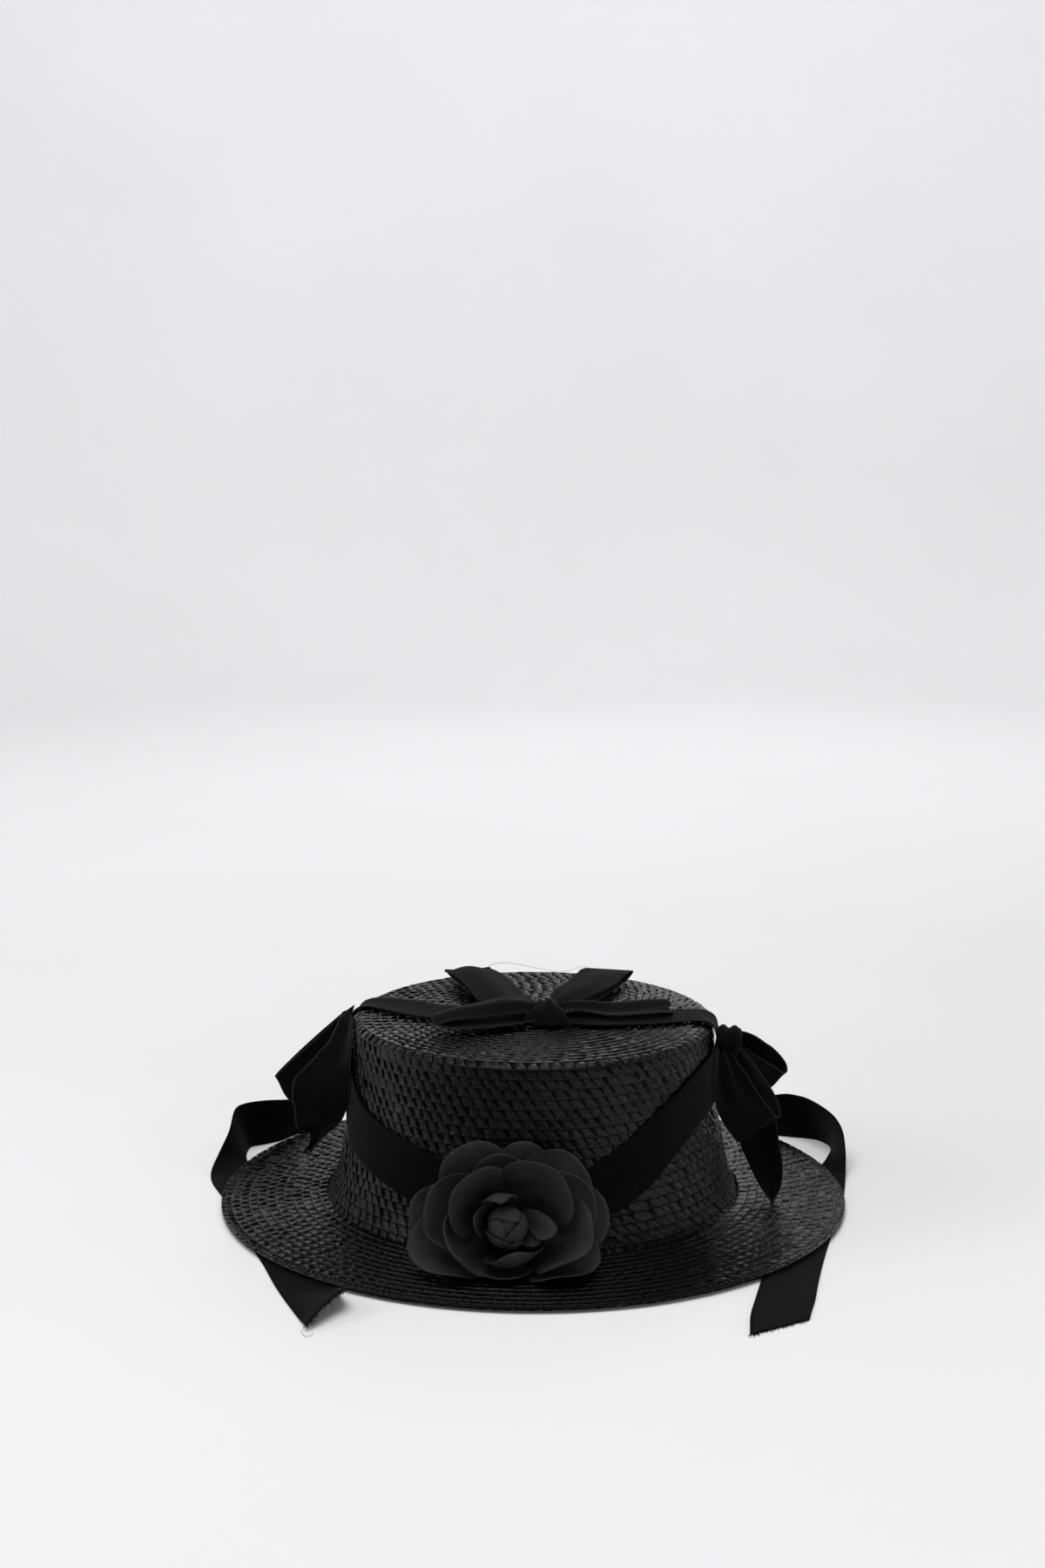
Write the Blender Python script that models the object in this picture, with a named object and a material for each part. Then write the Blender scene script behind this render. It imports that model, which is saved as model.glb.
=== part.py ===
"""Black straw boater hat with grosgrain ribbon bows, two ties and a cloth camellia.

The hat rests on its ties, which run flat under the rim. The origin is on the floor under the
middle of the whole part, +Z is up and the flower faces -Y. Tables are in millimetres from the
middle of the hat, and each object is placed in metres under one empty.
"""

import math
from collections import namedtuple

import bmesh
import bpy
from mathutils import Vector

MM = 0.001

# Driving dimensions of the straw, in millimetres
HAT_OFFSET = (1.4, 11.0)
OVAL_EXTRA = 5.0
STRAW_WALL = 1.9
BRIM_WALL = 1.7
GAP = 0.3
BRIM_RADIUS = 138.6
RIM_TOP = 3.0
CROWN_TOP = 84.0
TIP_RADIUS = 76.5
CROWN_SEGMENTS = 56
BRIM_SEGMENTS = 68

# Driving dimensions of the ribbon and the petals, in millimetres
RIBBON_WIDTH = 22.0
RIBBON_WALL = 1.0
RIBBON_STEP = 7.0
PETAL_WALL = 1.0

# Outer side of the crown from its foot to the tip: height, radius
CrownRow = namedtuple("CrownRow", "height radius")
CROWN_PROFILE = [
    CrownRow(6.2, 91.2),
    CrownRow(11.0, 88.6),
    CrownRow(16.0, 87.0),
    CrownRow(22.0, 85.9),
    CrownRow(34.0, 83.6),
    CrownRow(46.0, 82.1),
    CrownRow(62.0, 81.1),
    CrownRow(79.0, 80.3),
    CrownRow(82.4, 79.2),
    CrownRow(83.8, TIP_RADIUS),
    CrownRow(CROWN_TOP, 70.0),
]

# Upper side of the brim from its inner edge to the rim: radius, height
BrimRow = namedtuple("BrimRow", "radius height")
BRIM_PROFILE = [
    BrimRow(91.9, 6.5),
    BrimRow(97.0, 5.8),
    BrimRow(110.0, 4.9),
    BrimRow(126.0, 3.9),
    BrimRow(BRIM_RADIUS, RIM_TOP),
]

# Middle line of the front band on the crown's wall: angle round the crown, height
BandRow = namedtuple("BandRow", "angle height")
FRONT_BAND = [
    BandRow(182, 69),
    BandRow(186, 61),
    BandRow(192, 53),
    BandRow(199, 47),
    BandRow(210, 41),
    BandRow(228, 35.5),
    BandRow(242, 30.5),
    BandRow(256, 28),
    BandRow(270, 27),
    BandRow(286, 29),
    BandRow(300, 37.5),
    BandRow(312, 48),
    BandRow(328, 58),
    BandRow(344, 62.5),
    BandRow(356, 66),
]
BAND_STEP_DEGREES = 5
BAND_SLOPE_REACH = 3
BAND_STANDOFF = 0.9

# A ribbon's sections: place of its middle, direction across it, and its width there
Section = namedtuple("Section", "x y z across_x across_y across_z width")

CROSS_BAND = [
    Section(-81.9, 10, 77.5, 0.1, 1, 0, 13),
    Section(-81.0, 11.5, 82.2, 0.15, 1, 0, 19),
    Section(-75.5, 14, 85.1, 0.2, 1, 0, 22),
    Section(-64, 12, 85.5, 0.35, 1, 0.05, 22),
    Section(-48, 2, 86.6, 0.35, 1, 0.16, 22),
    Section(-28, -8, 86.0, 0.3, 1, 0.1, 20),
    Section(-10, -13.5, 85.0, 0.1, 1, 0, 17),
    Section(8, -15, 84.9, 0, 1, 0, 16),
    Section(28, -17, 84.9, -0.05, 1, 0, 20),
    Section(48, -14, 84.9, -0.2, 1, 0, 22),
    Section(64, -9, 84.9, -0.2, 1, 0, 22),
    Section(75.4, -9, 85.0, 0, 1, 0, 22),
    Section(80.9, -10, 82.5, 0, 1, 0, 20),
    Section(82.3, -10, 78.2, 0, 1, 0, 14),
]

TOP_LOOP_FRONT_LEFT = [
    Section(0.4, -16, 89.2, -0.2, 1, 0, 9),
    Section(-11, -18, 92.3, -0.3, 1, 0, 17),
    Section(-26, -24, 91.8, -0.5, 0.87, 0, 21),
    Section(-37, -29.5, 90.6, -0.6, 0.8, 0, 21),
    Section(-41, -31.5, 88.5, -0.6, 0.8, 0, 21),
    Section(-37.5, -30, 86.5, -0.6, 0.8, 0, 21),
    Section(-24, -24, 86.4, -0.45, 0.9, 0, 19),
    Section(-9, -18, 87.0, -0.3, 1, 0, 13),
    Section(0.0, -16, 87.4, -0.2, 1, 0, 9),
]

TOP_LOOP_FRONT_RIGHT = [
    Section(13.6, -15, 89.2, 0.1, 1, 0, 9),
    Section(24, -12, 88.9, 0.1, 1, 0, 15),
    Section(40, -8, 88.6, 0.1, 1, 0, 20),
    Section(54, -5, 88.8, 0.1, 1, 0, 21),
    Section(60.5, -4, 87.5, 0.1, 1, 0, 21),
    Section(54, -5, 86.2, 0.1, 1, 0, 21),
    Section(38, -9, 86.2, 0.1, 1, 0, 19),
    Section(23, -13, 86.7, 0.1, 1, 0, 13),
    Section(14.2, -15, 87.3, 0.1, 1, 0, 9),
]

TOP_LOOP_BACK_LEFT = [
    Section(1.2, -8.4, 89.6, 0.85, 0.5, 0, 8),
    Section(-6, 4, 91.2, 0.87, 0.5, 0, 15),
    Section(-15, 28, 90.5, 0.9, 0.42, 0, 21),
    Section(-25, 55, 90.0, 0.88, 0.48, 0, 22),
    Section(-30.5, 68, 88.2, 0.86, 0.5, 0, 22),
    Section(-26, 57, 86.0, 0.88, 0.48, 0, 22),
    Section(-16, 30, 86.2, 0.9, 0.42, 0, 19),
    Section(-6, 6, 87.2, 0.87, 0.5, 0, 13),
    Section(0.6, -7.4, 87.7, 0.85, 0.5, 0, 8),
]

TOP_LOOP_BACK_RIGHT = [
    Section(12.4, -7.6, 89.6, 0.95, -0.3, 0, 8),
    Section(17, 8, 91.0, 0.95, -0.3, 0, 15),
    Section(25, 34, 90.4, 0.95, -0.3, 0, 21),
    Section(33, 57, 90.0, 0.96, -0.28, 0, 22),
    Section(36.3, 67, 88.2, 0.96, -0.28, 0, 22),
    Section(33.5, 58, 86.0, 0.96, -0.28, 0, 22),
    Section(25.5, 35, 86.2, 0.95, -0.3, 0, 19),
    Section(17, 9, 87.0, 0.95, -0.3, 0, 13),
    Section(12.6, -6.6, 87.6, 0.95, -0.3, 0, 8),
]

RIGHT_LOOP_FRONT = [
    Section(87, -16.9, 73.0, 1, 0.1, 0.1, 10),
    Section(87.8, -20.6, 66.5, 0.97, 0.25, 0.1, 16.5),
    Section(89.8, -22.6, 58.5, 0.92, 0.32, 0.2, 20.5),
    Section(92.8, -23, 50, 0.88, 0.38, 0.26, 22),
    Section(97, -22.6, 41.5, 0.83, 0.43, 0.34, 22),
    Section(99, -21, 37.6, 0.82, 0.44, 0.36, 22),
    Section(99.6, -17.8, 40, 0.82, 0.44, 0.36, 22),
    Section(97, -17.2, 48.5, 0.88, 0.34, 0.3, 21.5),
    Section(93, -17, 60, 0.94, 0.2, 0.22, 15),
    Section(89.4, -16.9, 67.5, 1, 0.1, 0.1, 8),
]

# Ribbons read straight from their two edges: the near, left or lower edge and the other one
EdgeRow = namedtuple("EdgeRow", "low_x low_y low_z high_x high_y high_z")

LEFT_LOOP = [
    EdgeRow(-91.2, 3.5, 75, -85.2, 3.5, 82.3),
    EdgeRow(-95, 3, 61.8, -95.5, 3, 72.5),
    EdgeRow(-99, 3.5, 48.5, -106, 3.5, 63),
    EdgeRow(-102.2, 4.6, 37.8, -114.5, 4.6, 54.8),
    EdgeRow(-103.2, 7, 35.6, -116.4, 7, 52.7),
    EdgeRow(-102, 9.6, 38, -114.3, 9.6, 55),
    EdgeRow(-98.7, 10.5, 49.5, -105.5, 10.5, 63.6),
    EdgeRow(-94.6, 9.5, 63, -95.5, 9.5, 73),
    EdgeRow(-91, 8.5, 75.5, -86, 8.5, 81.5),
]

LEFT_TAIL = [
    EdgeRow(-87.2, -4.3, 75.5, -83.6, -4.5, 75.5),
    EdgeRow(-89, -7, 71.5, -83.9, -6.5, 71.5),
    EdgeRow(-97, -10, 64, -84.3, -9, 62),
    EdgeRow(-104.6, -12, 57.5, -84.5, -11, 53),
    EdgeRow(-106.5, -12.6, 50, -84.3, -12, 46.5),
    EdgeRow(-105.6, -12.6, 42, -84.8, -12, 41),
    EdgeRow(-105.2, -12.4, 34.5, -87.5, -12, 38),
]

LEFT_TAIL_LOW = [
    EdgeRow(-88.2, 0.5, 70.2, -83.6, 0.5, 70.2),
    EdgeRow(-95, -3, 58, -84, -3, 57),
    EdgeRow(-102, -4, 47, -84.2, -4.5, 45),
    EdgeRow(-100.5, -4, 38, -86.8, -5, 37.5),
    EdgeRow(-99.3, -4, 31, -91, -5, 31),
    EdgeRow(-100.5, -3.5, 25, -95.5, -4.5, 25),
    EdgeRow(-104.5, -3, 20, -101, -3.6, 21.6),
]

RIGHT_LOOP_UPPER = [
    EdgeRow(92.0, -4.2, 69.0, 91.2, -4.2, 76.4),
    EdgeRow(92.8, 0, 64, 96.5, 0, 75.4),
    EdgeRow(93.2, 2, 57, 103.8, 3, 70.5),
    EdgeRow(93.8, 2.6, 51.5, 109, 3.6, 66),
    EdgeRow(94.6, 2, 47.5, 112.2, 3, 61.5),
    EdgeRow(95.2, -0.8, 45.6, 113.4, 0.5, 57.5),
    EdgeRow(95, -3.4, 47, 111.6, -2.2, 57),
    EdgeRow(93.6, -4.6, 51, 107, -4, 59.8),
    EdgeRow(92.8, -5.2, 56, 103, -4.6, 61.5),
    EdgeRow(92.4, -6, 61.5, 98.8, -5.4, 65),
    EdgeRow(92.2, -8, 66.5, 94.5, -7, 70),
]

RIGHT_TAIL = [
    EdgeRow(88.8, -10.8, 66.6, 93, -10, 66.6),
    EdgeRow(88, -11, 55, 101, -9.5, 54),
    EdgeRow(88.4, -12, 42, 106.4, -10.5, 41),
    EdgeRow(91.2, -12.6, 28.4, 108.7, -11.5, 29),
    EdgeRow(95.4, -14.6, 18.6, 110.2, -14.5, 18.6),
    EdgeRow(99.6, -18.5, 10.5, 109.4, -19.5, 11.3),
    EdgeRow(102.6, -24, 7, 107.3, -25, 8),
    EdgeRow(103.4, -29.5, 6.4, 105, -29.8, 6.6),
]

# A tie lies on the floor: its low edge is the inner one, its high edge stands up or lies outwards
LEFT_TIE = [
    EdgeRow(-76, 63, 3.2, -60.5, 79, 3.2),
    EdgeRow(-92, 80, 1.6, -76, 95.5, 1.6),
    EdgeRow(-105, 93, 0.5, -89, 108, 0.5),
    EdgeRow(-113, 92, 0.5, -98, 108.5, 0.5),
    EdgeRow(-118, 86, 0.2, -108.5, 99, 9),
    EdgeRow(-122, 79.5, 0.2, -115.5, 88, 18),
    EdgeRow(-127, 75.5, 0, -122, 79.5, 21),
    EdgeRow(-131, 72.8, 0, -130, 74.5, 22),
    EdgeRow(-134, 71, 0, -136, 68, 21.6),
    EdgeRow(-135.5, 66.5, 0.1, -139.8, 60.5, 20),
    EdgeRow(-135.5, 58, 0.3, -142.6, 51.5, 14),
    EdgeRow(-133.6, 47, 0.5, -146, 42.5, 7),
    EdgeRow(-129, 35, 0.5, -148.2, 34, 2.4),
    EdgeRow(-126.5, 24, 0.5, -148, 25.5, 0.5),
    EdgeRow(-124, 10, 0.5, -145.3, 13.5, 0.5),
    EdgeRow(-117, -13, 0.5, -138, -7, 0.5),
    EdgeRow(-107.5, -31, 0.5, -128.5, -38, 0.5),
    EdgeRow(-98, -61, 0.5, -118.9, -67.7, 0.5),
    EdgeRow(-90.3, -84, 0.5, -111.1, -90.4, 0.5),
    EdgeRow(-83.5, -104, 0.5, -104.5, -112, 0.5),
    EdgeRow(-79, -118, 1.0, -99, -128, 0.5),
    EdgeRow(-75.5, -128, 4, -94, -139.5, 0.6),
    EdgeRow(-73, -135, 8, -89.5, -148.5, 1.0),
]

RIGHT_TIE = [
    EdgeRow(72, 64.5, 3.2, 56.5, 80, 3.2),
    EdgeRow(88, 82, 1.6, 72, 97.5, 1.6),
    EdgeRow(101, 95, 0.5, 85, 110.5, 0.5),
    EdgeRow(111, 97.5, 0.5, 97, 113, 0.5),
    EdgeRow(116, 92, 0.2, 107, 102, 9),
    EdgeRow(120, 88.5, 0.2, 115, 93.5, 18),
    EdgeRow(127, 86, 0, 122, 88.5, 21.4),
    EdgeRow(133, 84, 0, 129, 83.5, 21.8),
    EdgeRow(138.5, 80.5, 0, 134, 76.5, 21.6),
    EdgeRow(142, 73.5, 0, 139.5, 65, 20.6),
    EdgeRow(142.5, 66, 0.1, 143, 55, 19),
    EdgeRow(140, 57, 0.3, 145, 46, 15.5),
    EdgeRow(136.5, 46, 0.5, 145, 36, 9.5),
    EdgeRow(131.5, 34, 0.5, 143.9, 26, 3.6),
    EdgeRow(126, 20, 0.5, 142, 14, 1.5),
    EdgeRow(121.5, 7, 0.5, 140.2, 3, 0.5),
    EdgeRow(116, -9, 0.5, 137.3, -13.5, 0.5),
    EdgeRow(111.2, -29, 0.5, 132.5, -33, 0.5),
    EdgeRow(106, -48, 0.5, 127.7, -51.4, 0.5),
    EdgeRow(98.4, -77, 0.5, 120.2, -82.7, 0.5),
    EdgeRow(92.4, -104.5, 0.5, 114.5, -109.3, 0.5),
    EdgeRow(87.2, -128.5, 0.5, 110.5, -130, 0.5),
    EdgeRow(83.6, -146.2, 0.5, 107.9, -141, 0.5),
    EdgeRow(81.5, -165.5, 0.8, 106, -149.5, 0.6),
]

# The rim presses a tie flat this far beyond its edge
PRESSED_BEYOND = 1.0

# A tie's outer edge curls up, until the tie stands as steeply as this: sine, from and to
STANDING = (0.6, 0.95)
TIE_STEP = 9.0

# The knots: place of the middle and half sizes, and how round the pillow is
KNOT_ROUNDNESS = 0.8
Knot = namedtuple("Knot", "x y z half_x half_y half_z")
TOP_KNOT = Knot(7, -15, 89.1, 6.2, 7.5, 3.3)
LEFT_KNOT = Knot(-85.5, 2.5, 75, 2.6, 6.0, 4.0)
RIGHT_KNOT = Knot(87.5, -9.5, 73.0, 4.8, 6.4, 5.6)

# The flower's middle on the wall and the way it faces, a little upwards
FLOWER_MIDDLE = Vector((-11.0, -95.8, 19.0))
FLOWER_TILT = math.radians(19)
FLOWER_FORWARD = Vector((0, -math.cos(FLOWER_TILT), math.sin(FLOWER_TILT)))
FLOWER_UP = Vector((0, math.sin(FLOWER_TILT), math.cos(FLOWER_TILT)))
FLOWER_RIGHT = Vector((1, 0, 0))
PETAL_BASE_RADIUS = 4.0
PETAL_ROWS = 6
PETAL_COLUMNS = 5

# A petal's plan: its base's share of the full spread, where it is full, and how far its corners are cut
PETAL_BASE_SHARE = 0.5
PETAL_FULL_AT = 0.55
PETAL_CORNER_CUT = 0.22

# Where the brim is in the way the petals stand up: sine of the angle below level, from and to
BRIM_IN_WAY = (0.1, 0.95)

# A layer of petals: height of its base and the slopes at its base and rim, upwards and downwards
Layer = namedtuple("Layer", "base start end start_down end_down")
LAYERS = {
    "outer_low": Layer(1.2, 0, 24, 18, 96),
    "outer_high": Layer(2.6, 3, 29, 20, 104),
    "middle": Layer(4.0, 8, 44, 22, 112),
    "cup_low": Layer(5.4, 15, 66, 24, 112),
    "cup_high": Layer(6.8, 19, 74, 26, 114),
    "inner": Layer(8.2, 34, 88, 50, 104),
}

# A petal: its layer, angle round the flower, half its spread, and its length
Petal = namedtuple("Petal", "name layer angle spread reach")
PETALS = [
    Petal("petal_outer_1", "outer_high", 121, 29, 34.5),
    Petal("petal_outer_2", "outer_low", 80, 26, 35.0),
    Petal("petal_outer_3", "outer_high", 45, 27, 36.5),
    Petal("petal_outer_4", "outer_low", 3, 29, 37.5),
    Petal("petal_outer_5", "outer_high", -38, 26, 38.5),
    Petal("petal_outer_6", "outer_low", -95, 29, 31.0),
    Petal("petal_outer_7", "outer_high", -156, 27, 38.5),
    Petal("petal_outer_8", "outer_low", 166, 22, 35.0),
    Petal("petal_middle_1", "middle", 168, 34, 33.0),
    Petal("petal_middle_2", "middle", 97, 26, 30.5),
    Petal("petal_middle_3", "middle", 14, 32, 36.0),
    Petal("petal_cup_1", "cup_high", 136, 43, 31.0),
    Petal("petal_cup_2", "cup_high", 50, 40, 34.0),
    Petal("petal_cup_3", "cup_low", -12, 38, 40.0),
    Petal("petal_cup_4", "cup_high", -72, 42, 27.0),
    Petal("petal_cup_5", "cup_low", -154, 36, 31.0),
    Petal("petal_inner_1", "inner", 162, 26, 20.0),
    Petal("petal_inner_2", "inner", 104, 28, 22.0),
    Petal("petal_inner_3", "inner", 28, 34, 24.0),
    Petal("petal_inner_4", "inner", -28, 18, 20.0),
    Petal("petal_inner_5", "inner", -72, 22, 20.0),
]

# Solids turned round the flower's axis: radius, height over the base
TurnRow = namedtuple("TurnRow", "radius height")
BACKING_PROFILE = [
    TurnRow(10.0, -1.6),
    TurnRow(12.0, -0.8),
    TurnRow(11.0, 0.3),
]
BUD_PROFILE = [
    TurnRow(1.6, 9.0),
    TurnRow(4.6, 13.0),
    TurnRow(7.4, 19.0),
    TurnRow(6.4, 23.5),
    TurnRow(3.0, 26.0),
]


def clear_scene():
    for obj in list(bpy.data.objects):
        bpy.data.objects.remove(obj)


def make_material(name, colour, roughness, coat=0.0):
    material = bpy.data.materials.new(name)
    material.use_nodes = True
    shader = material.node_tree.nodes["Principled BSDF"]
    shader.inputs["Base Color"].default_value = (*colour, 1)
    shader.inputs["Roughness"].default_value = roughness
    shader.inputs["Metallic"].default_value = 0
    shader.inputs["Coat Weight"].default_value = coat
    return material


def smoothstep(low, high, value):
    share = min(max((value - low) / (high - low), 0), 1)
    return share * share * (3 - 2 * share)


def table_value(rows, at):
    """The second column of a table of pairs, read between rows at a value of the first."""
    for low, high in zip(rows, rows[1:]):
        if at <= high[0]:
            share = (at - low[0]) / (high[0] - low[0])
            return low[1] + (high[1] - low[1]) * share
    return rows[-1][1]


def oval_point(radius, angle, height):
    """A point on the hat's oval, which is a little longer than wide."""
    extra = OVAL_EXTRA * min(1, radius / TIP_RADIUS)
    return Vector((radius * math.cos(angle), (radius + extra) * math.sin(angle), height))


def place(name, mesh, material, hat):
    mesh.materials.append(material)
    obj = bpy.data.objects.new(name, mesh)
    bpy.context.scene.collection.objects.link(obj)
    obj.parent = hat
    return obj


def grid_mesh(name, rows, around=False, capped=False):
    """A sheet of quads through rows of points, closed round each row or capped at the last one."""
    bm = bmesh.new()
    loops = [[bm.verts.new(point * MM) for point in row] for row in rows]
    count = len(rows[0])
    for low, high in zip(loops, loops[1:]):
        for i in range(count if around else count - 1):
            j = (i + 1) % count
            bm.faces.new((low[i], low[j], high[j], high[i]))
    if capped:
        bm.faces.new(loops[-1])
    mesh = bpy.data.meshes.new(name)
    bm.to_mesh(mesh)
    bm.free()
    return mesh


def thicken(obj, wall, offset, even=True):
    """Gives a sheet its wall: offset -1 puts it behind the sheet, 0 puts half on each side."""
    solidify = obj.modifiers.new("Wall", "SOLIDIFY")
    solidify.thickness = wall * MM
    solidify.offset = offset
    solidify.use_even_offset = even
    return obj


def smooth_rows(table, row_step=RIBBON_STEP):
    """Rows read from a smooth curve through the table's own rows."""
    vectors = [list(row) for row in table]
    ends = [vectors[0]] + vectors + [vectors[-1]]
    found = []
    for i in range(1, len(ends) - 2):
        before, start, stop, after = ends[i - 1 : i + 3]
        length = math.dist(start[:3], stop[:3])
        steps = max(2, round(length / row_step))
        for step in range(steps):
            t = step / steps
            found.append([spline(t, *values) for values in zip(before, start, stop, after)])
    found.append(vectors[-1])
    return found


def spline(t, before, start, stop, after):
    """One coordinate of a smooth curve between start and stop."""
    return 0.5 * (
        2 * start
        + (stop - before) * t
        + (2 * before - 5 * start + 4 * stop - after) * t**2
        + (3 * start - before - 3 * stop + after) * t**3
    )


def ribbon(name, sections, material, hat):
    """A ribbon that follows the middles of its sections."""
    rows = []
    for row in smooth_rows(sections):
        section = Section(*row)
        middle = Vector(section[:3])
        across = Vector(section[3:6]).normalized() * section.width / 2
        rows.append([middle - across, middle, middle + across])
    return thicken(place(name, grid_mesh(name, rows), material, hat), RIBBON_WALL, 0)


def under_rim(point):
    """The height of a tie's point, held down by the brim over it."""
    share = math.hypot(point.x / BRIM_RADIUS, point.y / (BRIM_RADIUS + OVAL_EXTRA))
    radius = share * BRIM_RADIUS
    if radius > BRIM_RADIUS + PRESSED_BEYOND:
        return point.z
    highest = table_value(BRIM_PROFILE, radius) - BRIM_WALL - GAP - RIBBON_WALL / 2
    return min(point.z, highest)


def edge_ribbon(name, table, material, hat):
    """A ribbon that follows its two edges."""
    rows = []
    for row in smooth_rows(table):
        low, high = Vector(row[:3]), Vector(row[3:])
        rows.append([low, low.lerp(high, 0.5), high])
    return thicken(place(name, grid_mesh(name, rows), material, hat), RIBBON_WALL, 0)


def tie(name, table, material, hat):
    """A tie follows its two edges, and no point of it goes into the floor or the brim."""
    rows = []
    for row in smooth_rows(table, TIE_STEP):
        low, high = Vector(row[:3]), Vector(row[3:])
        steepness = abs(high.z - low.z) / (high - low).length
        lowest = RIBBON_WALL / 2 * math.sqrt(1 - steepness**2)
        curl = 2 - smoothstep(*STANDING, steepness)
        points = []
        for share in (0, 0.25, 0.5, 0.75, 1):
            point = low.lerp(high, share)
            point.z = low.z + (high.z - low.z) * share**curl
            point.z = max(under_rim(point), lowest)
            points.append(point)
        rows.append(points)
    return thicken(place(name, grid_mesh(name, rows), material, hat), RIBBON_WALL, 0, even=False)


def wall_point(along, height, standoff):
    """A point over the crown's wall, from the distance round it in millimetres."""
    radius = table_value(CROWN_PROFILE, height) + standoff
    return oval_point(radius, along / band_radius(), height)


def band_radius():
    return table_value(CROWN_PROFILE, FRONT_BAND[len(FRONT_BAND) // 2].height)


def front_band(material, hat):
    """The swag lies on the wall, so each of its points is found on the wall's own curve."""
    turn = band_radius()
    first, last = FRONT_BAND[0].angle, FRONT_BAND[-1].angle
    rows = []
    for degrees in range(first, last + 1, BAND_STEP_DEGREES):
        here = table_value(FRONT_BAND, degrees)
        ahead = table_value(FRONT_BAND, min(degrees + BAND_SLOPE_REACH, last))
        behind = table_value(FRONT_BAND, max(degrees - BAND_SLOPE_REACH, first))
        path = Vector((math.radians(2 * BAND_SLOPE_REACH) * turn, ahead - behind)).normalized()
        across = Vector((-path.y, path.x)) * RIBBON_WIDTH / 2
        row = []
        for share in (-1, -1 / 3, 1 / 3, 1):
            along = math.radians(degrees) * turn + across.x * share
            row.append(wall_point(along, here + across.y * share, BAND_STANDOFF))
        rows.append(row)
    return thicken(place("front_band", grid_mesh("front_band", rows), material, hat), RIBBON_WALL, 0)


def crown(material, hat):
    rows = []
    for row in CROWN_PROFILE:
        angles = [math.tau * i / CROWN_SEGMENTS for i in range(CROWN_SEGMENTS)]
        rows.append([oval_point(row.radius, angle, row.height) for angle in angles])
    mesh = grid_mesh("crown", rows, around=True, capped=True)
    return thicken(place("crown", mesh, material, hat), STRAW_WALL, -1)


def brim(material, hat):
    rows = []
    for row in reversed(BRIM_PROFILE):
        angles = [math.tau * i / BRIM_SEGMENTS for i in range(BRIM_SEGMENTS)]
        rows.append([oval_point(row.radius, angle, row.height) for angle in angles])
    mesh = grid_mesh("brim", rows, around=True)
    return thicken(place("brim", mesh, material, hat), BRIM_WALL, -1)


def knot(name, size, material, hat):
    """The wrap of a knot: a pillow with flattened sides."""
    bm = bmesh.new()
    bmesh.ops.create_uvsphere(bm, u_segments=12, v_segments=8, radius=1)
    halves = Vector((size.half_x, size.half_y, size.half_z))
    for vert in bm.verts:
        for axis in range(3):
            share = vert.co[axis]
            vert.co[axis] = math.copysign(abs(share) ** KNOT_ROUNDNESS, share) * halves[axis] * MM
    mesh = bpy.data.meshes.new(name)
    bm.to_mesh(mesh)
    bm.free()
    obj = place(name, mesh, material, hat)
    obj.location = Vector((size.x, size.y, size.z)) * MM
    return obj


def flower_point(radius, angle, height):
    """A point of the flower, from the distance to its axis and the height over its base."""
    sideways = FLOWER_RIGHT * math.cos(angle) + FLOWER_UP * math.sin(angle)
    return FLOWER_MIDDLE + sideways * radius + FLOWER_FORWARD * height


def petal_point(layer, angle, arc, reach):
    """A point on a layer's bowl, at a distance along it, where the bowl's slope grows evenly."""
    down = smoothstep(*BRIM_IN_WAY, -math.sin(angle))
    start = math.radians(layer.start + (layer.start_down - layer.start) * down)
    end = math.radians(layer.end + (layer.end_down - layer.end) * down)
    bend = (end - start) / reach
    slope = start + bend * arc
    radius = PETAL_BASE_RADIUS + (math.sin(slope) - math.sin(start)) / bend
    height = layer.base + (math.cos(start) - math.cos(slope)) / bend
    return flower_point(radius, angle, height)


def petal(row, material, hat):
    """A petal is a patch of its layer's bowl, narrow at the base and round at the rim."""
    layer = LAYERS[row.layer]
    rows = []
    for i in range(PETAL_ROWS):
        share = i / (PETAL_ROWS - 1)
        opening = math.sin(min(share / PETAL_FULL_AT, 1) * math.pi / 2)
        spread = row.spread * (PETAL_BASE_SHARE + (1 - PETAL_BASE_SHARE) * opening)
        points = []
        for j in range(PETAL_COLUMNS):
            side = 2 * j / (PETAL_COLUMNS - 1) - 1
            arc = row.reach * share * (1 - PETAL_CORNER_CUT * abs(side) ** 3 * share)
            angle = math.radians(row.angle + side * spread)
            points.append(petal_point(layer, angle, arc, row.reach))
        rows.append(points)
    return thicken(place(row.name, grid_mesh(row.name, rows), material, hat), PETAL_WALL, 0)


def turned_on_flower(name, profile, segments, material, hat):
    """A closed solid turned round the flower's axis, from rows of radius and height."""
    rows = []
    for row in profile:
        angles = [math.tau * i / segments for i in range(segments)]
        rows.append([flower_point(row.radius, angle, row.height) for angle in angles])
    bm = bmesh.new()
    loops = [[bm.verts.new(point * MM) for point in row] for row in rows]
    for low, high in zip(loops, loops[1:]):
        for i in range(segments):
            j = (i + 1) % segments
            bm.faces.new((low[i], low[j], high[j], high[i]))
    bm.faces.new(list(reversed(loops[0])))
    bm.faces.new(loops[-1])
    bmesh.ops.recalc_face_normals(bm, faces=bm.faces)
    mesh = bpy.data.meshes.new(name)
    bm.to_mesh(mesh)
    bm.free()
    return place(name, mesh, material, hat)


def flower(cloth, hat):
    turned_on_flower("flower_backing", BACKING_PROFILE, 20, cloth, hat)
    for row in PETALS:
        petal(row, cloth, hat)
    turned_on_flower("flower_bud", BUD_PROFILE, 12, cloth, hat)


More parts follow.
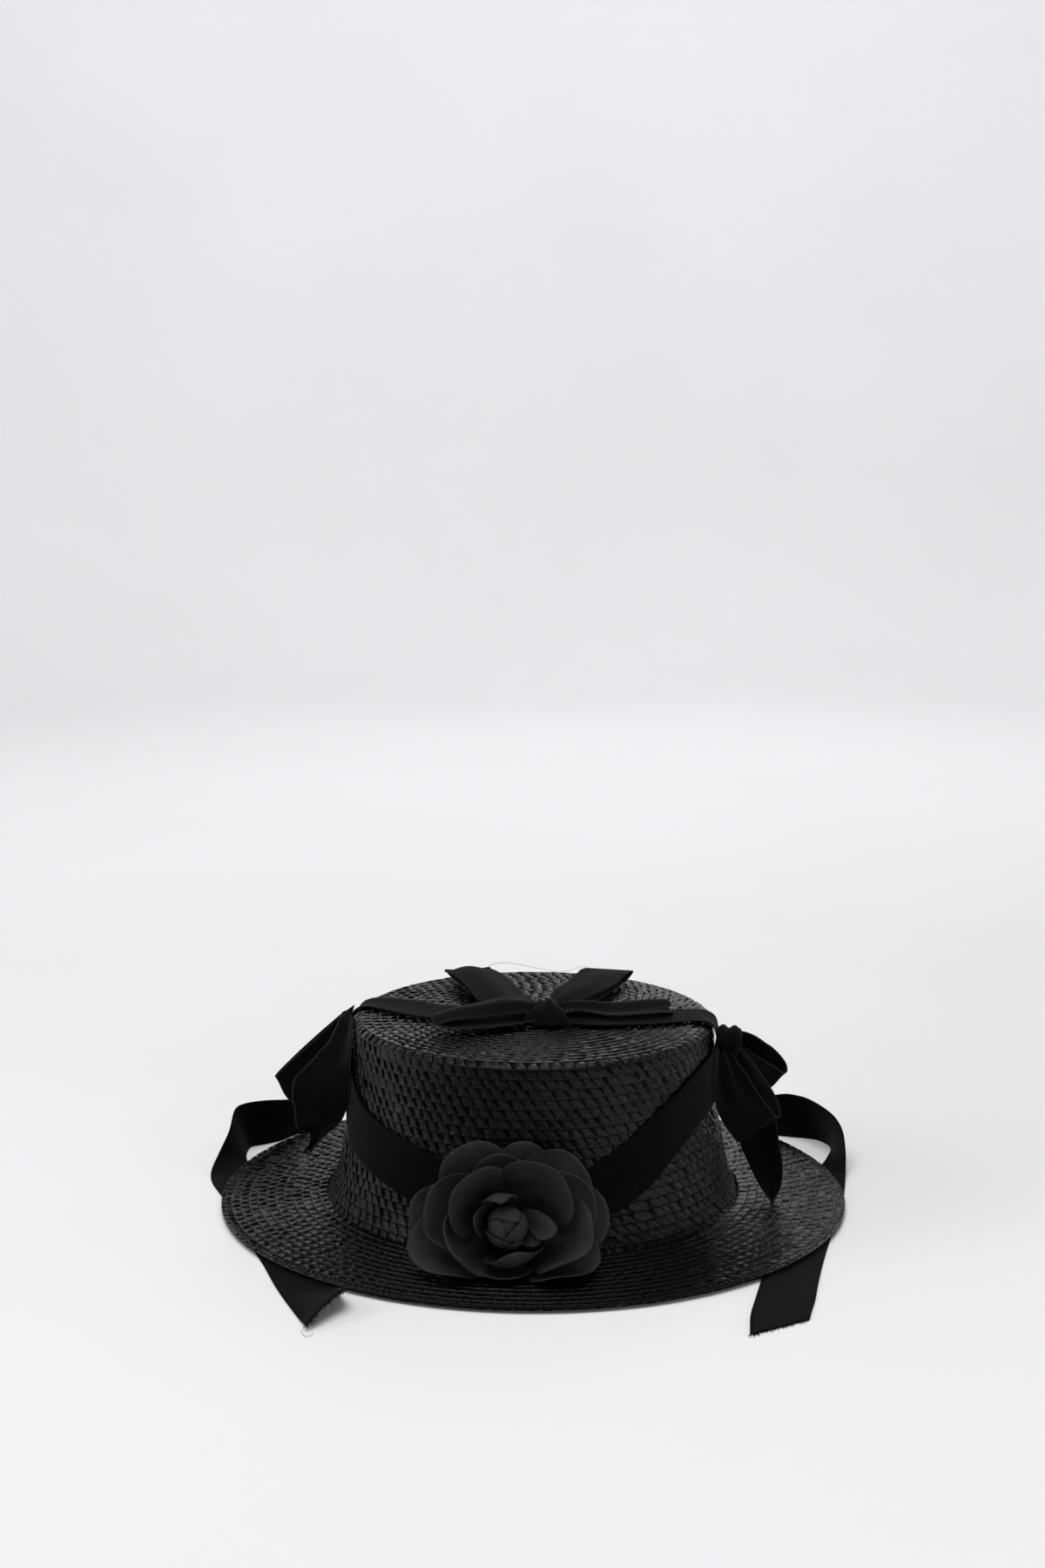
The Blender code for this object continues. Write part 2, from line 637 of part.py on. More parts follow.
def build():
    clear_scene()
    hat = bpy.data.objects.new("hat", None)
    hat.location = (HAT_OFFSET[0] * MM, HAT_OFFSET[1] * MM, 0)
    bpy.context.scene.collection.objects.link(hat)
    straw = make_material("black_straw", (0.012, 0.012, 0.013), 0.3, 0.6)
    grosgrain = make_material("black_grosgrain", (0.010, 0.010, 0.011), 0.8)
    cloth = make_material("flower_cloth", (0.018, 0.018, 0.019), 0.85)
    crown(straw, hat)
    brim(straw, hat)
    front_band(grosgrain, hat)
    ribbons = {
        "cross_band": CROSS_BAND,
        "top_loop_front_left": TOP_LOOP_FRONT_LEFT,
        "top_loop_front_right": TOP_LOOP_FRONT_RIGHT,
        "top_loop_back_left": TOP_LOOP_BACK_LEFT,
        "top_loop_back_right": TOP_LOOP_BACK_RIGHT,
        "right_loop_front": RIGHT_LOOP_FRONT,
    }
    for name, sections in ribbons.items():
        ribbon(name, sections, grosgrain, hat)
    edge_ribbons = {
        "left_loop": LEFT_LOOP,
        "left_tail": LEFT_TAIL,
        "left_tail_low": LEFT_TAIL_LOW,
        "right_loop_upper": RIGHT_LOOP_UPPER,
        "right_tail": RIGHT_TAIL,
    }
    for name, table in edge_ribbons.items():
        edge_ribbon(name, table, grosgrain, hat)
    tie("left_tie", LEFT_TIE, grosgrain, hat)
    tie("right_tie", RIGHT_TIE, grosgrain, hat)
    knot("top_knot", TOP_KNOT, grosgrain, hat)
    knot("left_knot", LEFT_KNOT, grosgrain, hat)
    knot("right_knot", RIGHT_KNOT, grosgrain, hat)
    flower(cloth, hat)


build()
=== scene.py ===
"""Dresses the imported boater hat: sewn straw braid, grosgrain ribbon, a cloth flower and threads.

Tables are in millimetres from the middle of the hat, as in the part's source. Every mesh is made
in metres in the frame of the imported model.
"""

import math
from collections import namedtuple

import bpy
import numpy as np
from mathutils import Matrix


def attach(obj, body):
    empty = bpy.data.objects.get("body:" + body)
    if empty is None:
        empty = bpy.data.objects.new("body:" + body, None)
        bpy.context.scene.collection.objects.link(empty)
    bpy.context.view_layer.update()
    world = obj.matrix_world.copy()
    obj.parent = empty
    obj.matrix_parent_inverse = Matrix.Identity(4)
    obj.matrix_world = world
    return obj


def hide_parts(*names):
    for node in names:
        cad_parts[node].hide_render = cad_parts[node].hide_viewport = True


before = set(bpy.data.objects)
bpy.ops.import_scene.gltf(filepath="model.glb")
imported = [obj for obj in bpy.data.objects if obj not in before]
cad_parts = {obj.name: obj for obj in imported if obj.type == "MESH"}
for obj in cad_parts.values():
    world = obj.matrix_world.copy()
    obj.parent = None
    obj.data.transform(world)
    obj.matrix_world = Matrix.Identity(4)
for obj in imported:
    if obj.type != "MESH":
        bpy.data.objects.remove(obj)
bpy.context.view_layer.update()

MM = 0.001
TURN = 2 * math.pi
UV_NAME = "weave"
# Mesh attribute that marks where paler colour is painted on the cloth as light
PAINTED_LIGHT_NAME = "rim"
RNG = np.random.default_rng(11)

# Length of one wave of a wave texture at a scale of one
WAVE_AT_SCALE_ONE = TURN / 20

# Driving dimensions of the straw
HAT_OFFSET = np.array((1.4, 11.0, 0.0))
OVAL_EXTRA = 5.0
TIP_RADIUS = 76.5
STRAW_WALL = 1.9
BRIM_WALL = 1.7
BRIM_RADIUS = 138.6

# Outer side of the crown from the tip's middle to its foot: radius, height
CROWN_PROFILE = [
    (0, 84),
    (20, 84),
    (40, 84),
    (60, 84),
    (70, 84),
    (76.5, 83.8),
    (79.2, 82.4),
    (80.3, 79),
    (81.1, 62),
    (82.1, 46),
    (83.6, 34),
    (85.9, 22),
    (87, 16),
    (88.6, 11),
    (91.2, 6.2),
]

# Where the crown's last row is sewn down under the brim's first one
CROWN_FOOT = (93.2, 4.4)

# Upper side of the brim from its inner edge to the rim, which turns down at the end
BRIM_PROFILE = [
    (91.9, 6.5),
    (97, 5.8),
    (110, 4.9),
    (126, 4),
    (134, 3.4),
    (BRIM_RADIUS, 2.9),
]

# The upper side of the part's solid brim, which keeps the ties low under it
SOLID_BRIM = [(91.9, 6.5), (97, 5.8), (110, 4.9), (126, 3.9), (BRIM_RADIUS, 3)]

# The camera: millimetres for its lens, metres for its place and degrees for its tilt
SENSOR_WIDTH = 36
LENS = 53.42
CAMERA_PLACE = (-0.0033, -0.995, 0.337)
CAMERA_TILT = 81.5
NEAREST_SEEN = 0.05
FURTHEST_SEEN = 50

WORLD_STRENGTH = 0.17

# The soft lights: place, aim and size in metres, power in watts
AreaLight = namedtuple("AreaLight", "name place aim size power")
LIGHTS = [
    AreaLight("softbox_top", (-0.2, -0.3, 1.9), (0, -0.15, 0.05), 1.6, 28),
    AreaLight("softbox_left", (-1.5, -0.35, 0.8), (0, 0, 0.05), 0.8, 7),
    AreaLight("strip_back", (0.45, 1.9, 1.3), (0, 0, 0.05), 0.5, 4),
    AreaLight("wash_back", (0.0, 1.0, 2.0), (0, 2.8, 1.3), 1.5, 23),
    AreaLight("window_right", (1.25, -0.55, 0.14), (0, -0.05, 0.05), 0.06, 1.2),
    AreaLight("window_low", (0.98, -1.0, 0.1), (0, -0.05, 0.05), 0.06, 1.1),
    AreaLight("window_front", (0.55, -1.3, 0.16), (0, -0.05, 0.05), 0.06, 1.2),
    AreaLight("window_high", (0.9, -0.9, 0.8), (0, -0.05, 0.05), 0.06, 1.1),
]


def camera_and_light():
    """The camera, the pale floor with its round backdrop, and the soft lights."""
    camera_data = bpy.data.cameras.new("camera")
    camera_data.sensor_width = SENSOR_WIDTH
    camera_data.lens = LENS
    camera_data.clip_start = NEAREST_SEEN
    camera_data.clip_end = FURTHEST_SEEN
    camera = bpy.data.objects.new("camera", camera_data)
    camera.location = CAMERA_PLACE
    camera.rotation_euler = (math.radians(CAMERA_TILT), 0, 0)
    bpy.context.scene.collection.objects.link(camera)
    bpy.context.scene.camera = camera
    studio_floor()
    for light in LIGHTS:
        area_light(light)
    world = bpy.data.worlds.new("studio")
    bpy.context.scene.world = world
    world.use_nodes = True
    background = world.node_tree.nodes["Background"]
    background.inputs["Color"].default_value = (1, 1, 1, 1)
    background.inputs["Strength"].default_value = WORLD_STRENGTH
    bpy.context.scene.view_settings.view_transform = "Standard"


def area_light(row):
    data = bpy.data.lights.new(row.name, "AREA")
    data.shape = "SQUARE"
    data.size = row.size
    data.energy = row.power
    light = bpy.data.objects.new(row.name, data)
    light.location = row.place
    right, forward, up = np.array(row.aim) - np.array(row.place)
    tilt = math.atan2(math.hypot(right, forward), -up)
    light.rotation_euler = (tilt, 0, math.atan2(-right, forward))
    bpy.context.scene.collection.objects.link(light)


def studio_floor():
    """A round floor whose far edge rises into a backdrop all round."""
    flat, bend, top = 2.0, 0.8, 1.5
    steps, around = 12, 96
    rows = [(0.001, 0.0), (0.1, 0.0), (0.3, 0.0), (1.0, 0.0), (flat, 0.0)]
    for step in range(1, steps + 1):
        turn = math.pi / 2 * step / steps
        rows.append((flat + bend * math.sin(turn), bend * (1 - math.cos(turn))))
    rows.append((flat + bend, top))
    angles = angles_round(around)
    points = np.array([[(r * math.cos(a), r * math.sin(a), z) for a in angles] for r, z in rows])
    quads = grid_quads(len(rows), around, around=True)[:, ::-1]
    points = points.reshape(-1, 3) / MM - HAT_OFFSET
    floor = add_mesh("studio_floor", backdrop_material(), points, quads)


def angles_round(count):
    """Evenly spaced angles once round."""
    return np.arange(count) * TURN / count


def stacked(*columns):
    """Columns that spread over one grid, as the last axis of an array."""
    return np.stack(np.broadcast_arrays(*columns), axis=-1)


def grid_quads(rows, columns, around=False):
    """Corner numbers of the quads of a grid of points, row by row."""
    low = np.arange(rows - 1)[:, None] * columns
    here = np.arange(columns if around else columns - 1)[None, :]
    there = (here + 1) % columns
    high = low + columns
    return stacked(low + here, low + there, high + there, high + here).reshape(-1, 4)


def joined(parts):
    """Several shells as one: their points, quads and UV places."""
    points, quads, uvs = zip(*parts)
    starts = np.cumsum([0] + [len(rows) for rows in points[:-1]])
    quads = [corners + start for corners, start in zip(quads, starts)]
    return np.concatenate(points), np.concatenate(quads), np.concatenate(uvs)


def running(steps):
    """The sums of steps so far, from nought."""
    return np.concatenate([[0], np.cumsum(steps)])


def gaps(points, axis=0):
    """Distances between neighbouring points."""
    return np.linalg.norm(np.diff(points, axis=axis), axis=-1)


def unit(vectors):
    return vectors / np.linalg.norm(vectors, axis=-1, keepdims=True)


def smoothstep(low, high, value):
    share = np.clip((value - low) / (high - low), 0, 1)
    return share * share * (3 - 2 * share)


def add_mesh(name, material, points, quads, uvs=None):
    """A smooth mesh from points in millimetres, with its corners' places in the weave's UV map."""
    mesh = bpy.data.meshes.new(name)
    placed = (np.asarray(points, float).reshape(-1, 3) + HAT_OFFSET) * MM
    mesh.from_pydata(placed.tolist(), [], np.asarray(quads).tolist())
    mesh.polygons.foreach_set("use_smooth", [True] * len(mesh.polygons))
    if uvs is not None:
        layer = mesh.uv_layers.new(name=UV_NAME)
        corners = np.zeros(len(mesh.loops), int)
        mesh.loops.foreach_get("vertex_index", corners)
        layer.data.foreach_set("uv", np.asarray(uvs, float).reshape(-1, 2)[corners].ravel())
    mesh.materials.append(material)
    obj = bpy.data.objects.new(name, mesh)
    bpy.context.scene.collection.objects.link(obj)
    return obj


def piece(obj, slot, *nodes):
    """Makes an object a piece of the hat that stands for the CAD nodes it covers."""
    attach(obj, "root")
    if nodes:
        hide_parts(*nodes)
    return obj


def new_material(name):
    material = bpy.data.materials.new(name)
    material.use_nodes = True
    return material, material.node_tree


def set_values(tree, node, values):
    """Sets a node's inputs and settings by name, to a constant or to another node's output."""
    for name, value in values.items():
        if isinstance(value, bpy.types.NodeSocket):
            tree.links.new(value, node.inputs[name])
        elif name in node.inputs:
            node.inputs[name].default_value = value
        else:
            setattr(node, name, value)


def shade(tree, values):
    """Sets the constants and the links of a material's shader."""
    set_values(tree, tree.nodes["Principled BSDF"], values)


def add_node(tree, kind, **values):
    node = tree.nodes.new(kind)
    set_values(tree, node, values)
    return node


def weave_place(tree, scale):
    """The weave's UV place in millimetres, stretched by a scale."""
    uv = add_node(tree, "ShaderNodeUVMap", uv_map=UV_NAME).outputs["UV"]
    return add_node(tree, "ShaderNodeMapping", Vector=uv, Scale=scale).outputs["Vector"]


def noise(tree, place, scale):
    node = add_node(tree, "ShaderNodeTexNoise", Vector=place, Scale=scale, Detail=3.0)
    return node.outputs["Fac"]


def grain_noise(tree, scale):
    """Noise through the whole object, with its scale per metre."""
    return noise(tree, add_node(tree, "ShaderNodeTexCoord").outputs["Object"], scale)


def weave_noise(tree, across, along):
    """Noise over the weave, with its scales across it and along it per millimetre."""
    return noise(tree, weave_place(tree, (across, along, 1)), 1.0)


def weave_wave(tree, direction, pitch, distortion):
    """Waves over the weave, with their pitch in millimetres."""
    place = weave_place(tree, (1, 1, 1))
    values = {"Vector": place, "Scale": WAVE_AT_SCALE_ONE / pitch, "Distortion": distortion}
    return add_node(tree, "ShaderNodeTexWave", bands_direction=direction, **values).outputs["Fac"]


def ramp(tree, value, low, high):
    """Maps a value's middle range to a number between low and high."""
    limits = {"From Min": 0.25, "From Max": 0.75, "To Min": low, "To Max": high}
    return add_node(tree, "ShaderNodeMapRange", Value=value, **limits).outputs["Result"]


def grey(tree, value, low, high, tint=(1, 1, 1)):
    """A colour between two shades of one tint."""
    node = add_node(tree, "ShaderNodeValToRGB", Fac=value)
    for element, position, level in zip(node.color_ramp.elements, (0.3, 0.7), (low, high)):
        element.position = position
        element.color = (*(level * c for c in tint), 1)
    return node.outputs["Color"]


def bump(tree, heights):
    """The normal from stacked bumps: each height with its strength and its depth in metres."""
    below = {}
    for height, strength, depth in heights:
        node = add_node(tree, "ShaderNodeBump", Height=height, Strength=strength, Distance=depth, **below)
        below = {"Normal": node.outputs["Normal"]}
    return below["Normal"]


def painted_light_share(tree):
    """How much painted light a place gets, as marked on the mesh: near the cloth's edges, and all over
    the bud.
    """
    return add_node(tree, "ShaderNodeAttribute", attribute_name=PAINTED_LIGHT_NAME).outputs["Fac"]


def with_painted_light(tree, nearness, middle, rim):
    """The middle's colour, and the paler rim colour, painted light, where nearness is one."""
    values = {"Factor": nearness, "A": middle, "B": rim}
    return add_node(tree, "ShaderNodeMix", data_type="RGBA", **values).outputs["Result"]


def straw_material():
    """Black lacquer over flat straw: fine streaks along each strand, dents and creases."""
    material, tree = new_material("straw_lacquer")
    streaks = weave_noise(tree, 3.2, 0.25)
    dents = weave_noise(tree, 0.45, 0.3)
    creases = weave_noise(tree, 1.1, 0.6)
    shade(tree, {
        "Base Color": grey(tree, dents, 0.0008, 0.0022, (1, 1, 1.06)),
        "Roughness": ramp(tree, streaks, 0.04, 0.15),
        "IOR": 1.24,
        "Normal": bump(tree, [(dents, 0.8, 0.0005), (creases, 0.8, 0.0005), (streaks, 0.5, 0.0001)]),
    })
    return material


def slit_shade_material():
    """The braid's under layer that shows in the slits, made darker and duller than the straw as painted
    shade.
    """
    material, tree = new_material("straw_shadow")
    grain = grain_noise(tree, 900.0)
    shade(tree, {
        "Base Color": grey(tree, grain, 0.0004, 0.0012),
        "Roughness": ramp(tree, grain, 0.6, 0.85),
        "Specular IOR Level": 0.05,
        "Normal": bump(tree, [(grain, 0.4, 0.0001)]),
    })
    return material


def ribbon_material():
    """Black grosgrain: ribs across the ribbon, fine warp threads along it and a painted highlight on the
    selvedges.
    """
    material, tree = new_material("grosgrain")
    ribs = weave_wave(tree, "Y", RIB_PITCH, 0.15)
    warp = weave_noise(tree, 5.0, 0.5)
    cloudy = weave_noise(tree, 0.12, 0.12)
    edge = add_node(tree, "ShaderNodeMapRange", **{"Value": painted_light_share(tree), "From Min": 0.55})
    middle = grey(tree, cloudy, 0.0017, 0.0027, (1, 0.98, 0.98))
    # Painted highlight: the paler colour along the selvedges stands in for the light their threads catch
    selvedge_highlight = grey(tree, warp, 0.012, 0.03, (1, 0.98, 0.98))
    shade(tree, {
        "Base Color": with_painted_light(tree, edge.outputs["Result"], middle, selvedge_highlight),
        "Roughness": ramp(tree, warp, 0.62, 0.8),
        "IOR": 1.3,
        "Specular IOR Level": 0.05,
        "Sheen Weight": 0.045,
        "Sheen Roughness": 0.4,
        "Normal": bump(tree, [(ribs, 0.3, 0.00012), (warp, 0.4, 0.00006)]),
    })
    return material


def flower_material():
    """Matte black cloth with a fine weave and faint mottling, with painted light at the petals' rims and
    painted shade towards their bases.
    """
    material, tree = new_material("flower_cloth")
    along = weave_wave(tree, "X", FLOWER_THREAD_PITCH, 1.5)
    across = weave_wave(tree, "Y", FLOWER_THREAD_PITCH, 0.6)
    mottle = weave_noise(tree, 0.25, 0.25)
    # Painted light and shade: the darker middle colour deep in the flower, the paler rim colour at the
    # rims and on the bud
    middle = grey(tree, mottle, 0.006, 0.01)
    rim = grey(tree, mottle, 0.024, 0.034)
    shade(tree, {
        "Base Color": with_painted_light(tree, painted_light_share(tree), middle, rim),
        "Roughness": ramp(tree, mottle, 0.8, 0.95),
        "IOR": 1.3,
        "Specular IOR Level": 0.15,
        "Sheen Weight": 0.01,
        "Sheen Roughness": 0.5,
        "Normal": bump(tree, [(mottle, 0.3, 0.0008), (along, 0.12, 0.00005), (across, 0.12, 0.00005)]),
    })
    return material


def backdrop_material():
    """Pale matte paper with a barely visible grain."""
    material, tree = new_material("pale_paper")
    grain = grain_noise(tree, 3.0)
    shade(tree, {
        "Base Color": grey(tree, grain, 0.83, 0.85, (1, 1, 1.01)),
        "Roughness": ramp(tree, grain, 0.85, 0.95),
        "Specular IOR Level": 0.2,
    })
    return material


# The straw braid. A row is a ring of flat strands that lean the same way, and each row's outer
# edge lies over the next row.
STRAND_WIDTH = 5.15
BRIM_STRAND_WIDTH = 5.7
STRAND_LEAN = 3.3
BRIM_LEAN = 2.2
ROW_TUCK = 0.9
TIP_ROW = 4.02
TIP_ROWS = 19
SHOULDER_FOOT = 80.9
WALL_ROWS = 19
BRIM_FIRST_EDGE = 92.2
BRIM_ROW = 3.84
BRIM_ROWS = 11
RIM_SPLIT = 137.2
ROW_OVERLAP = 0.15
ROW_SINK = 0.08
FEWEST_STRANDS = 5
FULL_WIDTH = 0.93
PHASE_SPREAD = 0.08
UV_SPREAD = 400

# Within this radius the strands of every row lean by one angle
LEAN_RADIUS = 8

# A strand's rows from its foot to its outer edge, and its columns, each with its lift
STRAND_STEPS = np.array((0.0, 0.3, 0.6, 0.76, 0.85, 0.94, 1.0))
STRAND_LIFTS = np.array((-0.75, -0.42, -0.2, -0.16, 0.0, -0.04, -0.55))
STRAND_SIDES = np.array((-1.0, -0.74, 0.0, 0.74, 1.0))
STRAND_DIPS = np.array((-0.55, -0.1, 0.0, -0.06, -0.45))

# Where along a strand its row's edge begins, and how firmly the edge evens the strands out
EDGE_START = 0.74
EDGE_FULL = 0.86
EDGE_HOLD = 0.7

# How unlike each other the strands are: a middle value and the spread round it
FOOT_WIDTH = (0.73, 0.12)
SHIFT = (0, 0.06)
SKEW = (0, 0.05)
TILT = (0.22, 0.22)
PITCH = (0, 0.28)
CREASE = (0, 0.14)
EDGE_WAVE = (0, 0.03)

Profile = namedtuple("Profile", "along radius height normal_radius normal_height")
StrawRow = namedtuple(
    "StrawRow", "start stop width lean tuck relief", defaults=[STRAND_WIDTH, STRAND_LEAN, ROW_TUCK, 1.0]
)


def spline_table(table, steps):
    """Every column of a table on a smooth curve, with so many steps between rows."""
    rows = np.array(table, float)
    ends = np.vstack([2 * rows[0] - rows[1], rows, 2 * rows[-1] - rows[-2]])
    t = np.arange(steps)[:, None] / steps
    found = []
    for i in range(1, len(ends) - 2):
        before, start, stop, after = ends[i - 1 : i + 3]
        curve = 2 * start + (stop - before) * t
        curve = curve + (2 * before - 5 * start + 4 * stop - after) * t**2
        curve = curve + (3 * start - before - 3 * stop + after) * t**3
        found.append(curve / 2)
    return np.vstack(found + [rows[-1:]])


def make_profile(table):
    """A profile with its length, and its normal away from the straw."""
    curve = spline_table(table, 12)
    along = running(gaps(curve))
    slope = unit(np.gradient(curve, along, axis=0))
    return Profile(along, curve[:, 0], curve[:, 1], -slope[:, 1], slope[:, 0])


def skin_points(profile, along, angle, lift):
    """Points over the straw, from the distance down its profile, the angle round and the lift."""
    radius = np.interp(along, profile.along, profile.radius)
    height = np.interp(along, profile.along, profile.height)
    outward = np.interp(along, profile.along, profile.normal_radius)
    upward = np.interp(along, profile.along, profile.normal_height)
    beyond = np.maximum(along - profile.along[-1], 0)
    extra = OVAL_EXTRA * np.minimum(1, radius / TIP_RADIUS)
    reach = radius + lift * outward + beyond * upward
    rise = height + lift * upward - beyond * outward
    return np.stack([reach * np.cos(angle), (reach + extra) * np.sin(angle), rise], axis=-1)


def rows_between(edges, **values):
    return [StrawRow(start, stop, **values) for start, stop in zip(edges, edges[1:])]


def crown_rows(profile):
    """The tip's rings, the smooth shoulder row and the wall's rows."""
    on_tip = profile.radius < TIP_RADIUS + 0.01
    edges = [TIP_RADIUS - TIP_ROW * k for k in range(TIP_ROWS, -1, -1)]
    tip = [np.interp(edge, profile.radius[on_tip], profile.along[on_tip]) for edge in edges]
    middle = StrawRow(0.4, tip[0], width=4.0, lean=0.0, tuck=0.0, relief=0.8)
    foot = np.interp(SHOULDER_FOOT, profile.height[::-1], profile.along[::-1])
    shoulder = StrawRow(tip[-1], foot, lean=STRAND_LEAN * 0.7, relief=0.75)
    wall = rows_between(np.linspace(foot, profile.along[-1], WALL_ROWS + 1))
    return [middle, *rows_between(tip), shoulder, *wall]


def brim_rows(profile):
    """The brim's rings, with a finer one at the rim that ends in a rolled edge."""
    edges = [BRIM_FIRST_EDGE + BRIM_ROW * k for k in range(BRIM_ROWS + 1)]
    places = [np.interp(edge, profile.radius, profile.along) for edge in edges]
    split = np.interp(RIM_SPLIT, profile.radius, profile.along)
    finer = StrawRow(places[-1], split, width=2.6, lean=1.2, relief=0.9)
    rolled = StrawRow(split, profile.along[-1] + 0.1, lean=1.6, tuck=0.5, relief=0.8)
    return [*rows_between(places, width=BRIM_STRAND_WIDTH, lean=BRIM_LEAN), finer, rolled]


def uneven(count, middle, spread):
    """One number per strand round a middle value, kept within twice the spread."""
    values = np.clip(RNG.normal(middle, spread, count), middle - 2 * spread, middle + 2 * spread)
    return values[:, None, None]


def strands(profile, rows, side, base_lift, steps, sides, lifts, dips):
    """The points and UV places of every strand, and the quads that join them."""
    points, uvs = [], []
    phase = 0.0
    for row in rows:
        middle = np.interp((row.start + row.stop) / 2, profile.along, profile.radius)
        count = max(FEWEST_STRANDS, round(TURN * middle / row.width))
        share = TURN / count
        lean = side * row.lean / max(middle, LEAN_RADIUS)
        phase += lean + RNG.normal(0, PHASE_SPREAD) * share
        shape = (count, len(steps), len(sides))
        t = np.broadcast_to(steps[None, :, None], shape)
        c = np.broadcast_to(sides[None, None, :], shape)
        loose = 1 - EDGE_HOLD * smoothstep(EDGE_START, EDGE_FULL, t)
        narrow = uneven(count, *FOOT_WIDTH)
        opening = np.clip(t / EDGE_START, 0, 1)
        half = share * 0.5 * (1 - loose * (1 - narrow - (FULL_WIDTH - narrow) * opening))
        centre = phase + share * (np.arange(count)[:, None, None] + loose * uneven(count, *SHIFT))
        angle = centre + lean * (t - 0.5) + (c + loose * uneven(count, *SKEW)) * half
        along = row.start - row.tuck + (row.stop + ROW_OVERLAP - row.start + row.tuck) * t
        tilt = uneven(count, *TILT) * c * np.sin(np.pi * np.clip(t, 0.2, 0.9))
        pitch = uneven(count, *PITCH) * (t - 0.5)
        crease = uneven(count, *CREASE) * (np.abs(c) - 0.5)
        dip = dips[None, None, :] * (0.6 + 0.4 * t)
        lift = lifts[None, :, None] + loose * (dip + side * tilt + pitch + crease)
        lift = lift * row.relief - ROW_SINK + (1 - loose) * uneven(count, *EDGE_WAVE)
        points.append(skin_points(profile, along, angle, base_lift + side * lift))
        shift = RNG.uniform(0, UV_SPREAD, (count, 1, 1, 2))
        uvs.append(stacked(c * row.width / 2, t * (row.stop - row.start + row.tuck)) + shift)
    points = np.concatenate([p.reshape(-1, 3) for p in points])
    uvs = np.concatenate([uv.reshape(-1, 2) for uv in uvs])
    cell = grid_quads(len(steps), len(sides))
    if side < 0:
        cell = cell[:, ::-1]
    per_cell = len(steps) * len(sides)
    starts = np.arange(len(points) // per_cell) * per_cell
    quads = (starts[:, None, None] + cell[None]).reshape(-1, 4)
    return points, quads[:, ::-1], uvs


def straw_skin(name, profile, rows, side, base_lift, material, every=1):
    """One side of the braid as a mesh; every says which of a strand's rows and columns it keeps."""
    steps, lifts = STRAND_STEPS[::every], STRAND_LIFTS[::every]
    sides, dips = STRAND_SIDES[::every], STRAND_DIPS[::every]
    return add_mesh(name, material, *strands(profile, rows, side, base_lift, steps, sides, lifts, dips))


def slit_shade_shell(name, profile, outer, inner, material):
    """The braid's under layer, which carries the painted shade of the slits: a thin closed shell between
    the two sides.
    """
    around = 120
    down = profile.along[::2]
    along = np.concatenate([down, down[::-1]])
    lift = np.repeat((outer, inner), len(down))
    angles = angles_round(around)
    grids = np.broadcast_arrays(along[:, None], angles[None, :], lift[:, None])
    quads = grid_quads(len(along), around, around=True)
    if profile.radius[0] > 1:
        last = (len(along) - 1) * around
        here = np.arange(around)
        there = (here + 1) % around
        closing = np.stack([last + here, last + there, there, here], axis=-1)
        quads = np.vstack([quads, closing])
    return add_mesh(name, material, skin_points(profile, *grids), quads[:, ::-1])


def straw():
    """The outside, the inside and the core of the crown and of the brim."""
    lacquer, shadow = straw_material(), slit_shade_material()
    crown, brim = make_profile(CROWN_PROFILE), make_profile(BRIM_PROFILE)
    outside = make_profile(CROWN_PROFILE + [CROWN_FOOT])
    for name, above, below, find_rows, inner_name, wall, core in (
        ("crown", outside, crown, crown_rows, "crown_braid_inside", STRAW_WALL, (-0.85, -1.1)),
        ("brim", brim, brim, brim_rows, "brim_braid_under", BRIM_WALL, (-0.75, -1.0)),
    ):
        braid = straw_skin(name + "_braid", above, find_rows(above), 1, 0.0, lacquer)
        piece(braid, "black_straw", name)
        inner = straw_skin(inner_name, below, find_rows(below), -1, -wall, lacquer, every=2)
        piece(inner, "black_straw")
        piece(slit_shade_shell(name + "_core", below, *core, shadow), "black_straw")


# Ribbon: sections and edges, finer than in the part's source
RIB_PITCH = 1.1
RIB_DEPTH = 0.035
SERRATION = 0.13
RIBBON_WIDTH = 22.0
RIBBON_HALF = 0.22
ACROSS = 17
TABLE_STEPS = 24

# Where the front band's middle runs on the wall: angle in degrees, height
FRONT_BAND = [
    (182, 69),
    (186, 61),
    (192, 53),
    (199, 47),
    (210, 41),
    (228, 35.5),
    (242, 30.5),
    (256, 28),
    (270, 27),
    (286, 29),
    (300, 37.5),
    (312, 48),
    (328, 58),
    (344, 62.5),
    (356, 66),
]
BAND_STANDOFF = 0.8

# The wall's radius that turns the band's angles into lengths
BAND_RADIUS = 83.9

# A ribbon's sections: place of its middle, direction across it, and its width there
CROSS_BAND = [
    (-80.1, 17.5, 77, 0.2, 1, 0, 10),
    (-79.6, 17.2, 80.6, 0.2, 1, 0, 13),
    (-77.2, 16.8, 83.4, 0.2, 1, 0, 15.5),
    (-71.5, 15.6, 84.7, 0.25, 1, 0, 18),
    (-60, 8.5, 85, 0.5, 1, 0.02, 21),
    (-46, -2, 85.3, 0.6, 1, 0.03, 22),
    (-30, -9, 85.4, 0.4, 1, 0.03, 21),
    (-12, -13.5, 85, 0.1, 1, 0, 17),
    (8, -15, 84.9, 0, 1, 0, 16),
    (28, -17, 84.9, -0.05, 1, 0, 20),
    (48, -14, 84.9, -0.2, 1, 0, 22),
    (64, -9, 84.9, -0.2, 1, 0, 22),
    (74.2, -9, 85, 0, 1, 0, 22),
    (79.2, -10.5, 82.9, 0.1, 1, 0, 20),
    (80.6, -12, 78.6, 0.14, 1, 0, 15),
]

